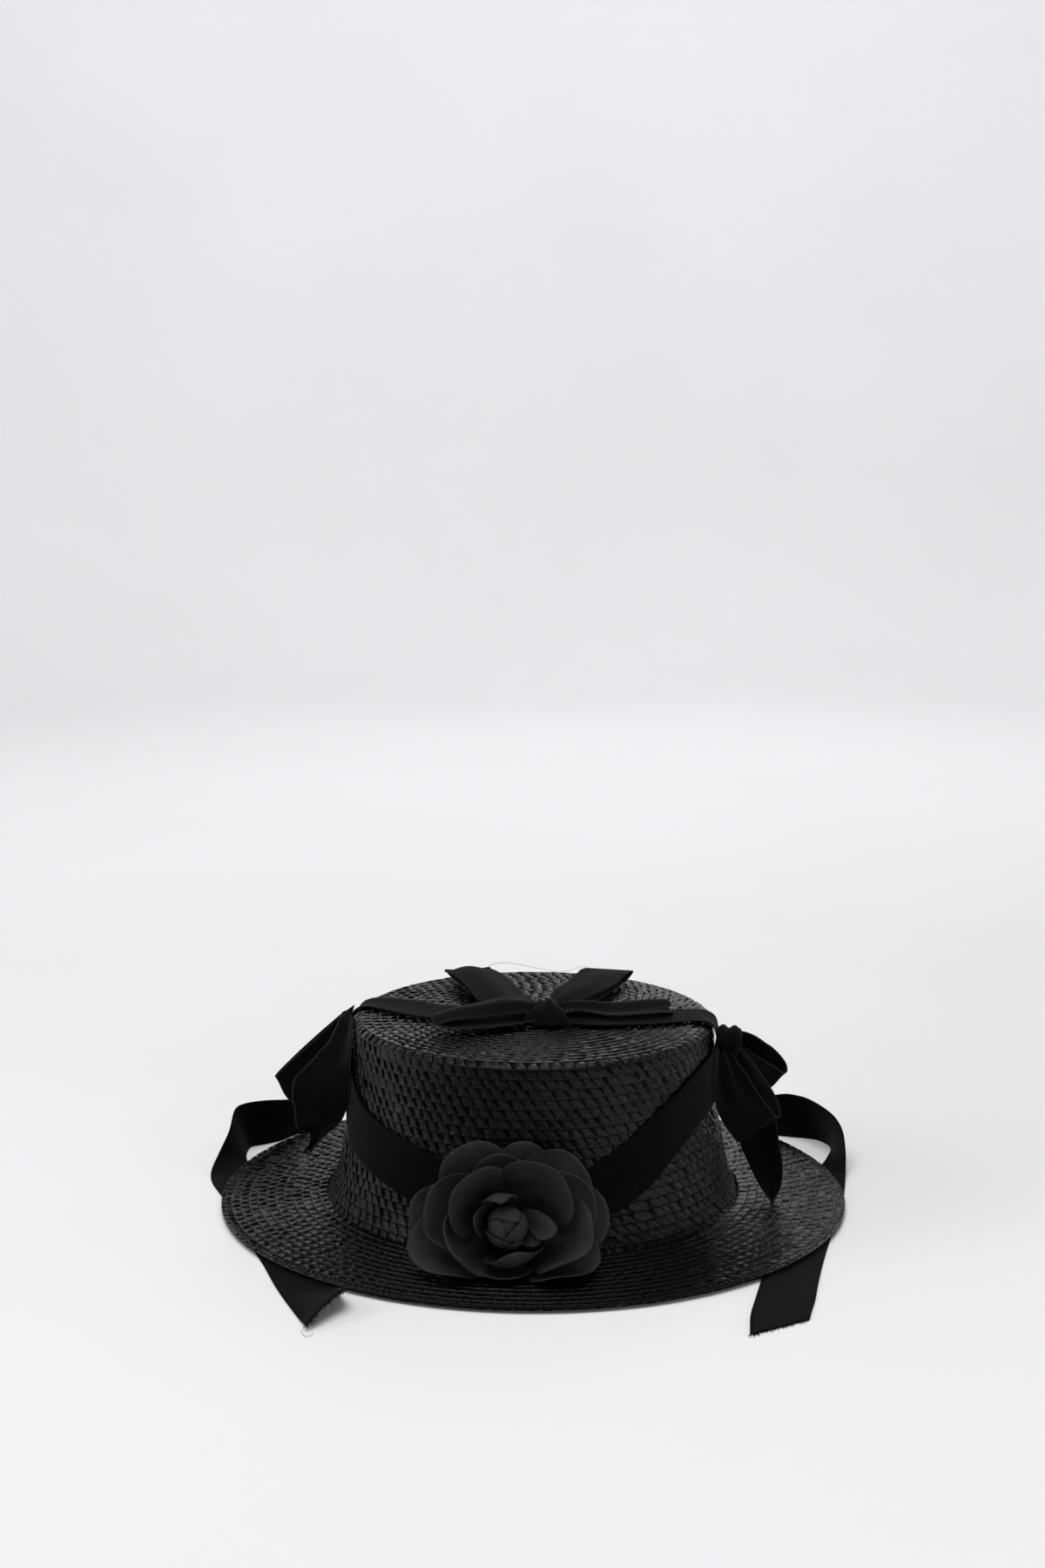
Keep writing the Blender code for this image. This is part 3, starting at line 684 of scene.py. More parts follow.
# Ribbons by their two edges: x, y, z of the near, left or lower edge, then of the other one
TOP_LOOP_FRONT_LEFT = [
    (4.5, -20, 90.6, 3.5, -12, 91.2),
    (-4, -25.5, 91.4, -3, -10, 93.6),
    (-13, -30.5, 91.8, -12, -11.5, 95.2),
    (-24, -34.6, 91.4, -22, -14.5, 93.6),
    (-35, -36, 90.6, -34, -15.5, 91.2),
    (-42.4, -37.2, 88, -43.5, -17.5, 88.2),
    (-37, -39.8, 86.3, -36, -19, 86.4),
    (-22, -38.5, 86.1, -22, -17.5, 86.3),
    (-9, -33.5, 86.3, -8, -14.5, 86.8),
    (4, -27, 87, 3, -14, 87.4),
]

TOP_LOOP_FRONT_RIGHT = [
    (8, -20, 89.8, 8, -11, 90.2),
    (17, -17.5, 88.8, 16, -5, 89.6),
    (26, -16.5, 87.4, 25, -0.5, 88.7),
    (34, -20.2, 87, 35, -0.8, 88.1),
    (44, -18.6, 87, 46, 2.2, 88.2),
    (56, -15, 87, 56.5, 5.6, 88),
    (61, -13.8, 86.6, 60.3, 6.8, 87.2),
    (55, -13.8, 86, 54, 5.8, 86.1),
    (38, -18, 85.9, 38, 1.5, 86),
    (22, -18.5, 86.1, 22, -3, 86.3),
    (8, -21.5, 87, 8, -12, 87.2),
]

TOP_KNOT = [
    (5.8, -29.8, 85.5, 1, -0.05, 0, 21),
    (5.8, -28.6, 87.2, 1, -0.05, 0, 20),
    (5.6, -25.4, 89.9, 1, -0.05, 0, 16.5),
    (5.2, -20, 92, 1, 0, 0.08, 12),
    (5, -14, 92.9, 1, 0, 0.1, 8.5),
    (5, -9, 91.9, 1, 0, 0.1, 8),
    (5, -6, 89.4, 1, 0, 0, 9),
    (5, -5, 86.4, 1, 0, 0, 10),
]

TOP_LOOP_BACK_LEFT = [
    (2, -13.5, 89.6, 4, -7, 89.6),
    (-9, -12.5, 90.2, -1, 0, 91.4),
    (-19.5, -6.5, 89.8, -4.6, 5.5, 91.8),
    (-25.2, 7, 90.4, -5.4, 13, 91.2),
    (-29.5, 25, 91, -9, 31, 91),
    (-36.5, 49, 90.6, -15.8, 54.5, 90.6),
    (-41.5, 64.5, 88.4, -20.5, 69.8, 88.4),
    (-36.5, 51, 86, -15.8, 56.5, 86),
    (-28.5, 27, 85.9, -8.5, 32, 85.9),
    (-22.5, 7, 86, -4.5, 12, 86),
    (-10, -7, 86.8, -1, 1, 86.8),
    (2, -12.5, 87.6, 4, -7, 87.6),
]

TOP_LOOP_BACK_RIGHT = [
    (7.5, -7, 89.6, 11, -12, 89.6),
    (8.6, 4, 91.6, 17.5, -5, 90.6),
    (10.6, 14, 92.4, 25, 7.5, 90.4),
    (15.5, 32, 91.2, 35.5, 26.5, 90.6),
    (21.5, 53, 90.6, 42.6, 47, 90.2),
    (25.6, 67.5, 88.4, 47.4, 62, 88.4),
    (21.5, 55, 86, 42.6, 49, 86),
    (15.5, 34, 85.9, 35.5, 28, 85.9),
    (10.6, 14, 86, 26, 7.5, 86),
    (8.6, 3, 86.8, 17.5, -3, 86.8),
    (7.5, -7, 87.6, 11, -11, 87.6),
]

RIGHT_LOOP_FRONT = [
    (80.8, -18.8, 74.6, 84.4, -18.8, 75.2),
    (78.8, -28, 68, 87.2, -22.8, 69.8),
    (77.7, -30.2, 58.5, 92.6, -22, 62),
    (79, -30.5, 49.5, 97.4, -21.2, 54.4),
    (83.2, -28.8, 41, 102.8, -20, 47),
    (88.6, -26.5, 33.4, 106.8, -17.2, 41.4),
    (91, -22, 33.8, 109.2, -12.8, 42.4),
    (88.6, -21.4, 43.6, 106.2, -10.6, 50.8),
    (85.4, -20, 54, 102, -10.6, 57.4),
    (83.8, -18.6, 63, 96.6, -11.4, 65.4),
    (82.8, -17, 70.5, 91.4, -12.2, 71.5),
]

LEFT_LOOP = [
    (-82.6, 3.5, 77.5, -79.4, 3.5, 86.8),
    (-83.8, 3.5, 66.5, -85.2, 3.5, 82.3),
    (-86, 3, 54.8, -95.5, 3, 72.5),
    (-93, 3.5, 45.5, -106, 3.5, 63),
    (-102.2, 4.6, 37.8, -114.5, 4.6, 54.8),
    (-103.2, 7, 35.6, -116.4, 7, 52.7),
    (-102, 9.6, 38, -114.3, 9.6, 55),
    (-94, 10.5, 46.5, -105.5, 10.5, 63.6),
    (-87.5, 9.5, 56.5, -95.5, 9.5, 73),
    (-84.6, 8.5, 68, -86, 8.5, 81.5),
]

LEFT_TAIL = [
    (-83.4, 2, 82.6, -80.4, -3, 83.2),
    (-84.6, -4.6, 82.4, -78.4, -17.5, 81.2),
    (-86.8, -7.2, 77.6, -78.1, -22.3, 76.2),
    (-90.4, -8.6, 71.6, -78.6, -24.2, 69.5),
    (-97.8, -10.4, 64.8, -79.4, -24.2, 61.6),
    (-104.8, -12, 57.5, -80, -23.4, 55),
    (-106.3, -12.8, 50.5, -80.4, -22.6, 49.5),
    (-105.2, -12.8, 42.5, -82.2, -21.6, 44.6),
    (-104.6, -12.8, 36.5, -84, -20.6, 40.6),
    (-101.5, -12.8, 34.4, -86.6, -19.4, 37.4),
    (-98.4, -12.8, 33.4, -90.2, -17.8, 33.8),
    (-97.6, -12.6, 30.6, -93, -16.2, 30.6),
    (-98.6, -12.4, 27.6, -95, -14.6, 28.2),
    (-100.4, -12.2, 25.2, -97.4, -13.2, 25.8),
]

LEFT_TAIL_LOW = [
    (-88.2, 0.5, 70.2, -83.4, -1, 70.2),
    (-95, -4, 58, -82.8, -10, 57),
    (-101, -7, 47, -82.8, -14.5, 48),
    (-100.5, -9, 40, -86.2, -14.2, 42),
    (-99.4, -10, 35.5, -90.2, -13.6, 37),
    (-98.4, -10.4, 32.4, -94.2, -12.4, 33.2),
    (-98.4, -10.6, 29.6, -97.2, -11, 29.8),
]

RIGHT_LOOP_UPPER = [
    (87, -7, 70.5, 86.2, -8, 77),
    (91.6, 0.5, 66.5, 91.4, -4.5, 77.4),
    (93, 3.6, 57.8, 97.4, -3.2, 75.4),
    (94.2, 4, 52.4, 103.8, -2, 70.9),
    (95.2, 4, 49.2, 109.2, -0.8, 65.8),
    (95.8, 3, 47.2, 112.6, -0.6, 61.2),
    (96.4, -0.5, 45.6, 113.4, -2.2, 57.6),
    (95.4, -5.2, 45.6, 111.6, -5.2, 57.4),
    (93.8, -9, 48.6, 107.4, -7, 60.8),
    (92.4, -11, 53.4, 102.6, -8, 64.2),
    (91, -11.5, 58.5, 98.2, -8.6, 67.2),
    (88.5, -11.5, 65.5, 93.6, -9.4, 70.8),
]

# The wrap of the right bow's knot, from its foot in front over the top and down behind
RIGHT_KNOT = [
    (81.6, -17.5, 69, 86.5, -17.8, 66.6),
    (80.6, -21.2, 72.5, 88.6, -21.8, 70.4),
    (79.9, -22.2, 76.4, 90.4, -22, 74.4),
    (79.9, -19.6, 79.8, 91.2, -18.4, 78.2),
    (80.6, -14.6, 81.4, 91.4, -13, 80),
    (81.2, -9.6, 80.4, 91, -8, 79.2),
    (81.8, -6.6, 77, 90, -5, 76),
    (82.2, -6.2, 72, 88.6, -5.4, 71.6),
]

RIGHT_TAIL = [
    (88.8, -10.8, 66.6, 93, -10, 66.6),
    (88, -11, 55, 101, -9.5, 54),
    (88.4, -12, 42, 106.4, -10.5, 41),
    (91.2, -12.6, 28.4, 108.7, -11.5, 29),
    (95.4, -14.6, 18.6, 110.2, -14.5, 18.6),
    (99.6, -18.5, 10.5, 109.4, -19.5, 11.3),
    (102.6, -24, 7, 107.3, -25, 8),
    (103.4, -29.5, 6.4, 105, -29.8, 6.6),
]

# A tie lies on the floor: its low edge is the inner one, its high edge stands up or lies outwards
LEFT_TIE = [
    (-76, 63, 3.2, -60.5, 79, 3.2),
    (-92, 80, 1.6, -76, 95.5, 1.6),
    (-105, 93, 0.5, -89, 108, 0.5),
    (-113, 92, 0.5, -98, 108.5, 0.5),
    (-118, 86, 0.2, -108.5, 99, 9),
    (-122, 79.5, 0.2, -115.5, 88, 18),
    (-127, 75.5, 0, -122, 79.5, 21),
    (-131, 72.8, 0, -130, 74.5, 22),
    (-134, 71, 0, -137.8, 69.3, 22),
    (-135.5, 66.5, 0.1, -141.3, 63.5, 20.6),
    (-135.5, 58, 0.3, -142.6, 51.5, 14),
    (-133.6, 47, 0.5, -146, 42.5, 7),
    (-129, 35, 0.5, -148.2, 34, 2.4),
    (-126.5, 24, 0.5, -148, 25.5, 0.5),
    (-124, 10, 0.5, -145.3, 13.5, 0.5),
    (-117, -13, 0.5, -138, -7, 0.5),
    (-107.5, -31, 0.5, -128.5, -38, 0.5),
    (-98, -61, 0.5, -118.9, -67.7, 0.5),
    (-90.3, -84, 0.5, -111.1, -90.4, 0.5),
    (-83.5, -104, 0.5, -104.5, -112, 0.5),
    (-79, -118, 1, -99, -128, 0.5),
    (-75.5, -128, 4, -94, -141.5, 0.6),
    (-73.6, -134, 7.4, -90.2, -151.5, 0.8),
    (-73.4, -138.4, 8.6, -87.2, -160.5, 2.2),
]

RIGHT_TIE = [
    (72, 64.5, 3.2, 56.5, 80, 3.2),
    (88, 82, 1.6, 72, 97.5, 1.6),
    (101, 95, 0.5, 85, 110.5, 0.5),
    (111, 97.5, 0.5, 97, 113, 0.5),
    (116, 92, 0.2, 107, 102, 9),
    (120, 88.5, 0.2, 115, 93.5, 18),
    (127, 86, 0, 122, 88.5, 21.4),
    (133, 84, 0, 129, 83.5, 21.8),
    (138.5, 80.5, 0, 134, 76.5, 21.6),
    (142, 73.5, 0, 139.5, 65, 20.6),
    (142.5, 66, 0.1, 143, 55, 19),
    (140, 57, 0.3, 145, 46, 15.5),
    (136.5, 46, 0.5, 145, 36, 9.5),
    (131.5, 34, 0.5, 143.9, 26, 3.6),
    (126, 20, 0.5, 142, 14, 1.5),
    (121.5, 7, 0.5, 140.2, 3, 0.5),
    (116, -9, 0.5, 137.3, -13.5, 0.5),
    (111.2, -29, 0.5, 132.5, -33, 0.5),
    (106, -48, 0.5, 127.7, -51.4, 0.5),
    (98.4, -77, 0.5, 120.2, -82.7, 0.5),
    (92.4, -104.5, 0.5, 114.5, -109.3, 0.5),
    (87.2, -128.5, 0.5, 110.5, -130, 0.5),
    (83.6, -146.2, 0.5, 107.9, -141, 0.5),
    (81.5, -165.5, 0.8, 106, -149.5, 0.6),
]

# A tie lies where it is less steep than the first number, and stands where it is steeper than the
# second. Its middle surface keeps a height over the floor, and a little more where it lies.
STANDING = (0.6, 0.95)
LOWEST_STANDING = 0.35
LYING_MORE = 0.15

# How the brim holds a tie down
PRESSED_BEYOND = 1.0
RIM_GAP = 0.3
SOLID_RIBBON = 1.0


def even_rows(middle, columns):
    """Rows of a table read again at half a rib's pitch along the ribbon's middle."""
    along = running(gaps(middle))
    count = max(4, round(along[-1] / (RIB_PITCH / 2)))
    at = np.linspace(0, along[-1], count + 1)
    return np.stack([np.interp(at, along, column) for column in columns.T], axis=1)


def section_edges(table):
    """The two edges of a ribbon that follows its sections."""
    rows = spline_table(table, TABLE_STEPS)
    rows = even_rows(rows[:, :3], rows)
    half = unit(rows[:, 3:6]) * rows[:, 6:7] / 2
    return rows[:, :3] - half, rows[:, :3] + half


def edge_edges(table):
    """The two edges of a ribbon that is given by them."""
    rows = spline_table(table, TABLE_STEPS)
    rows = even_rows((rows[:, :3] + rows[:, 3:]) / 2, rows)
    return rows[:, :3], rows[:, 3:]


def flat_across(low, high):
    share = np.linspace(0, 1, ACROSS)[None, :, None]
    return low[:, None] + (high - low)[:, None] * share


def under_rim(points):
    """Heights of a tie's points, held down by the brim over them."""
    share = np.hypot(points[..., 0] / BRIM_RADIUS, points[..., 1] / (BRIM_RADIUS + OVAL_EXTRA))
    radius = share * BRIM_RADIUS
    table = np.array(SOLID_BRIM)
    highest = np.interp(radius, table[:, 0], table[:, 1]) - BRIM_WALL - RIM_GAP - SOLID_RIBBON / 2
    pressed = radius <= BRIM_RADIUS + PRESSED_BEYOND
    return np.where(pressed, np.minimum(points[..., 2], highest), points[..., 2])


def tie_across(low, high):
    """A tie's points: its outer edge curls up, and it stays over the floor and under the brim."""
    share = np.linspace(0, 1, ACROSS)[None, :]
    points = flat_across(low, high)
    steepness = np.abs(high[:, 2] - low[:, 2]) / np.linalg.norm(high - low, axis=1)
    lowest = LOWEST_STANDING + LYING_MORE * np.sqrt(np.clip(1 - steepness**2, 0, 1))
    curl = 2 - smoothstep(*STANDING, steepness)
    rise = (high[:, 2] - low[:, 2])[:, None] * share ** curl[:, None]
    points[..., 2] = low[:, 2][:, None] + rise
    points[..., 2] = np.maximum(under_rim(points), lowest[:, None])
    return points


def pleated(points, pleats, deepest):
    """Lifts a narrowed ribbon into pleats, so that its cloth keeps its width."""
    width = np.linalg.norm(points[:, -1] - points[:, 0], axis=1)
    spare = np.sqrt(np.clip((RIBBON_WIDTH / width) ** 2 - 1, 0, 9))
    depth = np.minimum(spare * width * math.sqrt(2) / (TURN * pleats), deepest)
    wave = np.cos(TURN * pleats * np.linspace(0, 1, ACROSS))[None, :]
    return points + surface_normals(points) * (depth[:, None] * wave)[..., None]


def surface_normals(points):
    """Unit normals of a grid of points."""
    normal = np.cross(np.gradient(points, axis=0), np.gradient(points, axis=1))
    length = np.linalg.norm(normal, axis=-1, keepdims=True)
    return normal / np.maximum(length, 1e-9)


def cloth_shell(points, half, ribbed=True):
    """A closed thin cloth over a grid of points, with ribs and serrated edges if it's ribbon."""
    rows, columns = points.shape[:2]
    normal = surface_normals(points)
    if ribbed:
        every_other = np.where(np.arange(rows) % 2, 1.0, -1.0)
        points = points.copy()
        edge = unit(points[:, -1] - points[:, 0])
        reach = (every_other * SERRATION)[:, None]
        points[:, 0] -= edge * reach
        points[:, -1] += edge * reach
        lift = (half + every_other * RIB_DEPTH)[:, None, None]
        along = np.arange(rows) * RIB_PITCH / 2
    else:
        lift = half
        along = running(gaps(points).mean(1))
    front, back = points + normal * lift, points - normal * lift
    ring = np.concatenate([front, back[:, ::-1]], axis=1)
    across = running(gaps(points, 1).mean(0))
    across = np.concatenate([across, across[::-1]])
    uvs = np.stack(np.meshgrid(across, along), axis=-1)
    quads = grid_quads(rows, 2 * columns, around=True)
    here = np.arange(columns - 1)
    first = np.stack([here, here + 1, 2 * columns - 2 - here, 2 * columns - 1 - here], axis=-1)
    last = first[:, ::-1] + (rows - 1) * 2 * columns
    quads = np.vstack([quads[:, ::-1], first, last])
    return ring.reshape(-1, 3), quads, uvs.reshape(-1, 2)


def add_ribbon(name, points, material):
    """A ribbon as a piece."""
    mesh = add_mesh(name + "_ribbon", material, *cloth_shell(points, RIBBON_HALF))
    obj = piece(mesh, "black_grosgrain", name)
    return obj


def wall_points(profile, along, height, standoff):
    """Points over the crown's wall, from the distance round it and the height."""
    wall = profile.height < 80
    down = np.interp(height, profile.height[wall][::-1], profile.along[wall][::-1])
    return skin_points(profile, down, along / BAND_RADIUS, standoff)


def front_band_points(profile):
    """The swag lies on the wall's own curve, and it keeps its width on the unrolled wall."""
    rows = spline_table(FRONT_BAND, TABLE_STEPS)
    rows = np.stack([np.radians(rows[:, 0]) * BAND_RADIUS, rows[:, 1]], axis=1)
    rows = even_rows(rows, rows)
    path = np.gradient(rows, axis=0)
    for _ in range(3):
        path[1:-1] = (path[:-2] + path[1:-1] + path[2:]) / 3
    path = unit(path)
    side = np.stack([-path[:, 1], path[:, 0]], axis=1) * RIBBON_WIDTH / 2
    share = np.linspace(-1, 1, ACROSS)[None, :]
    along, height = rows[:, :1] + side[:, :1] * share, rows[:, 1:] + side[:, 1:] * share
    return wall_points(profile, along, height, BAND_STANDOFF)


# Where the painted highlight lies across a ribbon: one at its two edges, nought between them
SELVEDGE_HIGHLIGHT = np.where(np.arange(ACROSS) % (ACROSS - 1), 0.0, 1.0)
Ribbon = namedtuple(
    "Ribbon", "name table rests_on held pleats deepest read", defaults=[[], "folded", 1, 0.9, edge_edges]
)
RIBBONS = [
    Ribbon("cross_band", CROSS_BAND, ["crown_braid"], "laid", deepest=0.25, read=section_edges),
    Ribbon("top_loop_front_left", TOP_LOOP_FRONT_LEFT, ["cross_band_ribbon"]),
    Ribbon("top_loop_front_right", TOP_LOOP_FRONT_RIGHT, ["cross_band_ribbon"]),
    Ribbon("top_loop_back_left", TOP_LOOP_BACK_LEFT, ["crown_braid"]),
    Ribbon("top_loop_back_right", TOP_LOOP_BACK_RIGHT, ["crown_braid"]),
    Ribbon("top_knot", TOP_KNOT, pleats=2, deepest=0.5, read=section_edges),
    Ribbon("right_loop_front", RIGHT_LOOP_FRONT, pleats=2),
    Ribbon("left_loop", LEFT_LOOP),
    Ribbon("left_tail", LEFT_TAIL, held="hung"),
    Ribbon("left_tail_low", LEFT_TAIL_LOW, held="hung"),
    Ribbon("right_loop_upper", RIGHT_LOOP_UPPER),
    Ribbon("right_knot", RIGHT_KNOT, pleats=2, deepest=0.7),
    Ribbon("right_tail", RIGHT_TAIL, held="hung"),
]


def ribbons(material):
    """Every ribbon; returns the points of their middle surfaces, by name."""
    band = front_band_points(make_profile(CROWN_PROFILE))
    add_ribbon("front_band", band, material)
    found = {}
    for row in RIBBONS:
        points = pleated(flat_across(*row.read(row.table)), row.pleats, row.deepest)
        obj = add_ribbon(row.name, points, material)
        # Every ribbon but the cross band gets the painted highlight on its selvedges
        if row.name != "cross_band":
            mark_painted_light(obj, np.tile(SELVEDGE_HIGHLIGHT, 2 * len(points)))
        found[row.name] = points
    for name, table in (("left_tie", LEFT_TIE), ("right_tie", RIGHT_TIE)):
        points = tie_across(*edge_edges(table))
        add_ribbon(name, points, material)
        found[name] = points
    return found


# The knots' wraps: place of the middle, half sizes, and the axis that the wrap runs round
KNOT_ROUNDNESS = 0.8
KNOT_FOLD = 0.2
KNOT_PLEATS = 2
KNOT_WEAVE_ALONG = 14
KNOT_WEAVE_ROUND = 30
Knot = namedtuple("Knot", "name place halves axis nodes")
KNOTS = [
    Knot("left_knot", (-83.2, 1.0, 80), (2.8, 7.0, 4.4), "y", ["left_knot"]),
    Knot("right_knot", (86.0, -13.4, 74.8), (4.6, 6.2, 4.8), "z", []),
]


def knot(row, material):
    """A knot's wrap: a pillow with flat sides and pleats that run round it."""
    rings, around = 40, 72
    polar = np.linspace(0, math.pi, rings)[:, None]
    turn = angles_round(around)[None, :]
    ball = stacked(np.cos(polar), np.sin(polar) * np.cos(turn), np.sin(polar) * np.sin(turn))
    ball = np.roll(ball, "xyz".index(row.axis), axis=-1)
    skew = polar / math.pi + 0.1 * np.sin(turn + 0.6)
    fluted = 1 - KNOT_FOLD * (0.5 - 0.5 * np.cos(TURN * KNOT_PLEATS * skew)) ** 0.7
    points = np.sign(ball) * np.abs(ball) ** KNOT_ROUNDNESS * row.halves * fluted[..., None]
    points = points + row.place
    uvs = stacked(polar / math.pi * KNOT_WEAVE_ALONG, turn / TURN * KNOT_WEAVE_ROUND)
    quads = grid_quads(rings, around, around=True)
    mesh = add_mesh(row.name + "_inside", material, points, quads, uvs)
    obj = piece(mesh, "black_grosgrain", *row.nodes)


# The flower, with the place and the tilt of the part's
FLOWER_MIDDLE = np.array((-11.0, -95.8, 19.0))
FLOWER_TILT = math.radians(19)
FLOWER_FORWARD = np.array((0, -math.cos(FLOWER_TILT), math.sin(FLOWER_TILT)))
FLOWER_UP = np.array((0, math.sin(FLOWER_TILT), math.cos(FLOWER_TILT)))
FLOWER_RIGHT = np.array((1.0, 0, 0))
PETAL_BASE_RADIUS = 4.0
PETAL_BASE_SHARE = 0.45
PETAL_FULL_AT = 0.6
PETAL_END_NARROW = 0.34
PETAL_CORNER_CUT = 0.17
PETAL_CORNER_POWER = 2.6
PETAL_POINT = 0.1
PETAL_POINT_POWER = 1.4
PETAL_HALF_WAVES = 1.6
PETAL_CALM = 0.7
PETAL_FRAY = 0.09
PETAL_FRAY_POWER = 12
PETAL_HALF = 0.2
PETAL_GRID = 27
BRIM_IN_WAY = (0.1, 0.95)
FLOWER_THREAD_PITCH = 0.42

# Millimetres of weave per radian, round the flower's axis and down its bud
WEAVE_ROUND = 6
WEAVE_DOWN = 8

# A petal's slopes in degrees from the flower's base, at its foot and rim, and where it points down
Layer = namedtuple("Layer", "base start end start_down end_down")
LAYERS = {
    "outer_low": Layer(1.2, 0, 24, 18, 92),
    "outer_high": Layer(2.6, 3, 30, 20, 96),
    "middle": Layer(4.0, 8, 46, 22, 108),
    "cup_low": Layer(5.4, 15, 68, 24, 112),
    "cup_high": Layer(6.8, 19, 76, 26, 114),
    "lip": Layer(6.8, 18, 140, 22, 154),
    "crescent": Layer(5.4, 16, 108, 22, 124),
    "inner": Layer(8.2, 34, 88, 50, 104),
    "folded_in": Layer(8.2, 40, 136, 50, 126),
    "folded_out": Layer(8.2, 84, 22, 84, 40),
}

# Curl says how late the slope changes; slant lifts one side; wave and point shape the rim; turn
# is how far the petal swings round from its foot to its rim
Petal = namedtuple("Petal", "name layer angle spread reach curl slant wave point turn", defaults=[0])
PETALS = [
    Petal("petal_outer_1", "outer_high", 124, 39, 34.3, 1.5, 0.9, 0.5, 0.0),
    Petal("petal_outer_2", "outer_low", 75, 30, 30.6, 1.3, 0.4, 0.6, 0.5),
    Petal("petal_outer_3", "outer_high", 39, 37, 36.4, 1.6, 0.8, 0.6, 0.1),
    Petal("petal_outer_4", "outer_low", 6, 36, 38.0, 1.5, -0.6, 0.5, 0.1),
    Petal("petal_outer_5", "outer_high", -33, 37, 39.5, 1.2, -0.5, 0.7, 0.0),
    Petal("petal_outer_6", "outer_low", -96, 44, 31.0, 1.0, 0.3, 0.5, 0.0),
    Petal("petal_outer_7", "outer_high", -157, 37, 39.5, 1.3, 0.6, 0.5, 0.0),
    Petal("petal_outer_8", "outer_low", 170, 28, 36.5, 1.4, 0.5, 0.4, 0.1),
    Petal("petal_middle_1", "middle", 168, 45, 33.5, 1.3, 0.7, 0.4, 0.0),
    Petal("petal_middle_2", "middle", 97, 38, 27.6, 1.3, -0.5, 0.4, 0.0),
    Petal("petal_middle_3", "middle", 16, 38, 36.5, 1.4, -0.5, 0.6, 0.0),
    Petal("petal_cup_1", "cup_high", 141, 54, 31.0, 1.2, 0.9, 0.35, 0.0),
    Petal("petal_cup_2", "cup_high", 46, 48, 36.5, 1.2, 0.8, 0.5, 0.1),
    Petal("petal_cup_3", "cup_low", -13, 44, 41.5, 1.2, 0.5, 0.7, 0.0),
    Petal("petal_cup_4", "lip", -76, 50, 30.5, 1.5, 0.2, 0.3, 0.0),
    Petal("petal_cup_5", "crescent", -154, 42, 35.0, 1.8, -0.3, 0.3, 0.0),
    Petal("petal_inner_1", "inner", 170, 36, 19.5, 1.0, 0.3, 0.3, 0.0),
    Petal("petal_inner_2", "folded_in", 104, 36, 24.5, 1.9, -0.8, 0.4, 0.9),
    Petal("petal_inner_3", "folded_out", 42, 27, 22.5, 0.7, -0.9, 0.3, 0.9, -46),
    Petal("petal_inner_4", "folded_out", -28, 26, 16.5, 0.7, 0.3, 0.2, 0.7),
    Petal("petal_inner_5", "folded_in", -66, 30, 19.0, 1.6, 0.2, 0.2, 0.0),
]

# The leaves wrapped over the bud: direction, half spread, where the tip lies, height over the bud
BudLeaf = namedtuple("BudLeaf", "angle spread tip stand slant")
BUD_LEAVES = [
    BudLeaf(200, 95, 8, 0.3, 0.25),
    BudLeaf(80, 85, 14, 0.75, 0.4),
    BudLeaf(-40, 80, 20, 1.15, 0.4),
    BudLeaf(-110, 62, 42, 1.6, 0.35),
]
BUD_RADIUS = 7.2
BUD_STRETCH = 1.25
BUD_MIDDLE = 17.0
BUD_TOP = 0.01
BUD_OPEN_FOOT = 0.3
LEAF_FOOT = math.radians(112)
LEAF_ROUND = 0.16
LEAF_NARROW = 0.62
LEAF_NARROW_FROM = 0.35
LEAF_NARROW_POWER = 1.3
LEAF_TIP_LIFT = 0.5

# The disc behind the petals, turned round the flower's axis: radius, height
BACKING_PROFILE = [
    (0.1, -1.6),
    (10, -1.6),
    (12, -0.8),
    (11, 0.3),
    (0.1, 0.3),
]


def flower_points(radius, angle, height):
    """Points of the flower, from the distance to its axis and the height over its base."""
    sideways = FLOWER_RIGHT * np.cos(angle)[..., None] + FLOWER_UP * np.sin(angle)[..., None]
    return FLOWER_MIDDLE + sideways * radius[..., None] + FLOWER_FORWARD * height[..., None]


def petal_points(row):
    """A petal as a patch of its layer's bowl, narrow at the base and round at the rim."""
    layer = LAYERS[row.layer]
    share = np.linspace(0, 1, PETAL_GRID)[:, None]
    side = np.linspace(-1, 1, PETAL_GRID)[None, :]
    opening = np.sin(np.minimum(share / PETAL_FULL_AT, 1) * math.pi / 2)
    closing = 1 - PETAL_END_NARROW * np.clip((share - PETAL_FULL_AT) / (1 - PETAL_FULL_AT), 0, 1) ** 2
    spread = row.spread * (PETAL_BASE_SHARE + (1 - PETAL_BASE_SHARE) * opening) * closing
    corner = 1 - PETAL_CORNER_CUT * np.abs(side) ** PETAL_CORNER_POWER * share
    tip = 1 + PETAL_POINT * row.point * (1 - np.abs(side)) ** PETAL_POINT_POWER * share**3
    edge = RNG.uniform(-1, 1, side.shape) * PETAL_FRAY * share**PETAL_FRAY_POWER
    arc = row.reach * share * corner * tip + edge
    phase = RNG.uniform(0, TURN)
    angle = np.radians(row.angle + row.turn * share + side * spread)
    down = smoothstep(*BRIM_IN_WAY, -np.sin(angle))
    start = np.radians(layer.start + (layer.start_down - layer.start) * down)
    end = np.radians(layer.end + (layer.end_down - layer.end) * down)
    slope = start + (end - start) * (arc / row.reach) ** row.curl
    steps = np.diff(arc, axis=0)
    middle = (slope[1:] + slope[:-1]) / 2
    none = np.zeros_like(side)
    radius = PETAL_BASE_RADIUS + np.concatenate([none, np.cumsum(steps * np.cos(middle), axis=0)])
    height = layer.base + np.concatenate([none, np.cumsum(steps * np.sin(middle), axis=0)])
    ripple = row.wave * np.sin(PETAL_HALF_WAVES * math.pi * side + phase) * share**2
    lift = row.slant * side * share + ripple * (1 - PETAL_CALM * down)
    return flower_points(radius - lift * np.sin(slope), angle, height + lift * np.cos(slope))


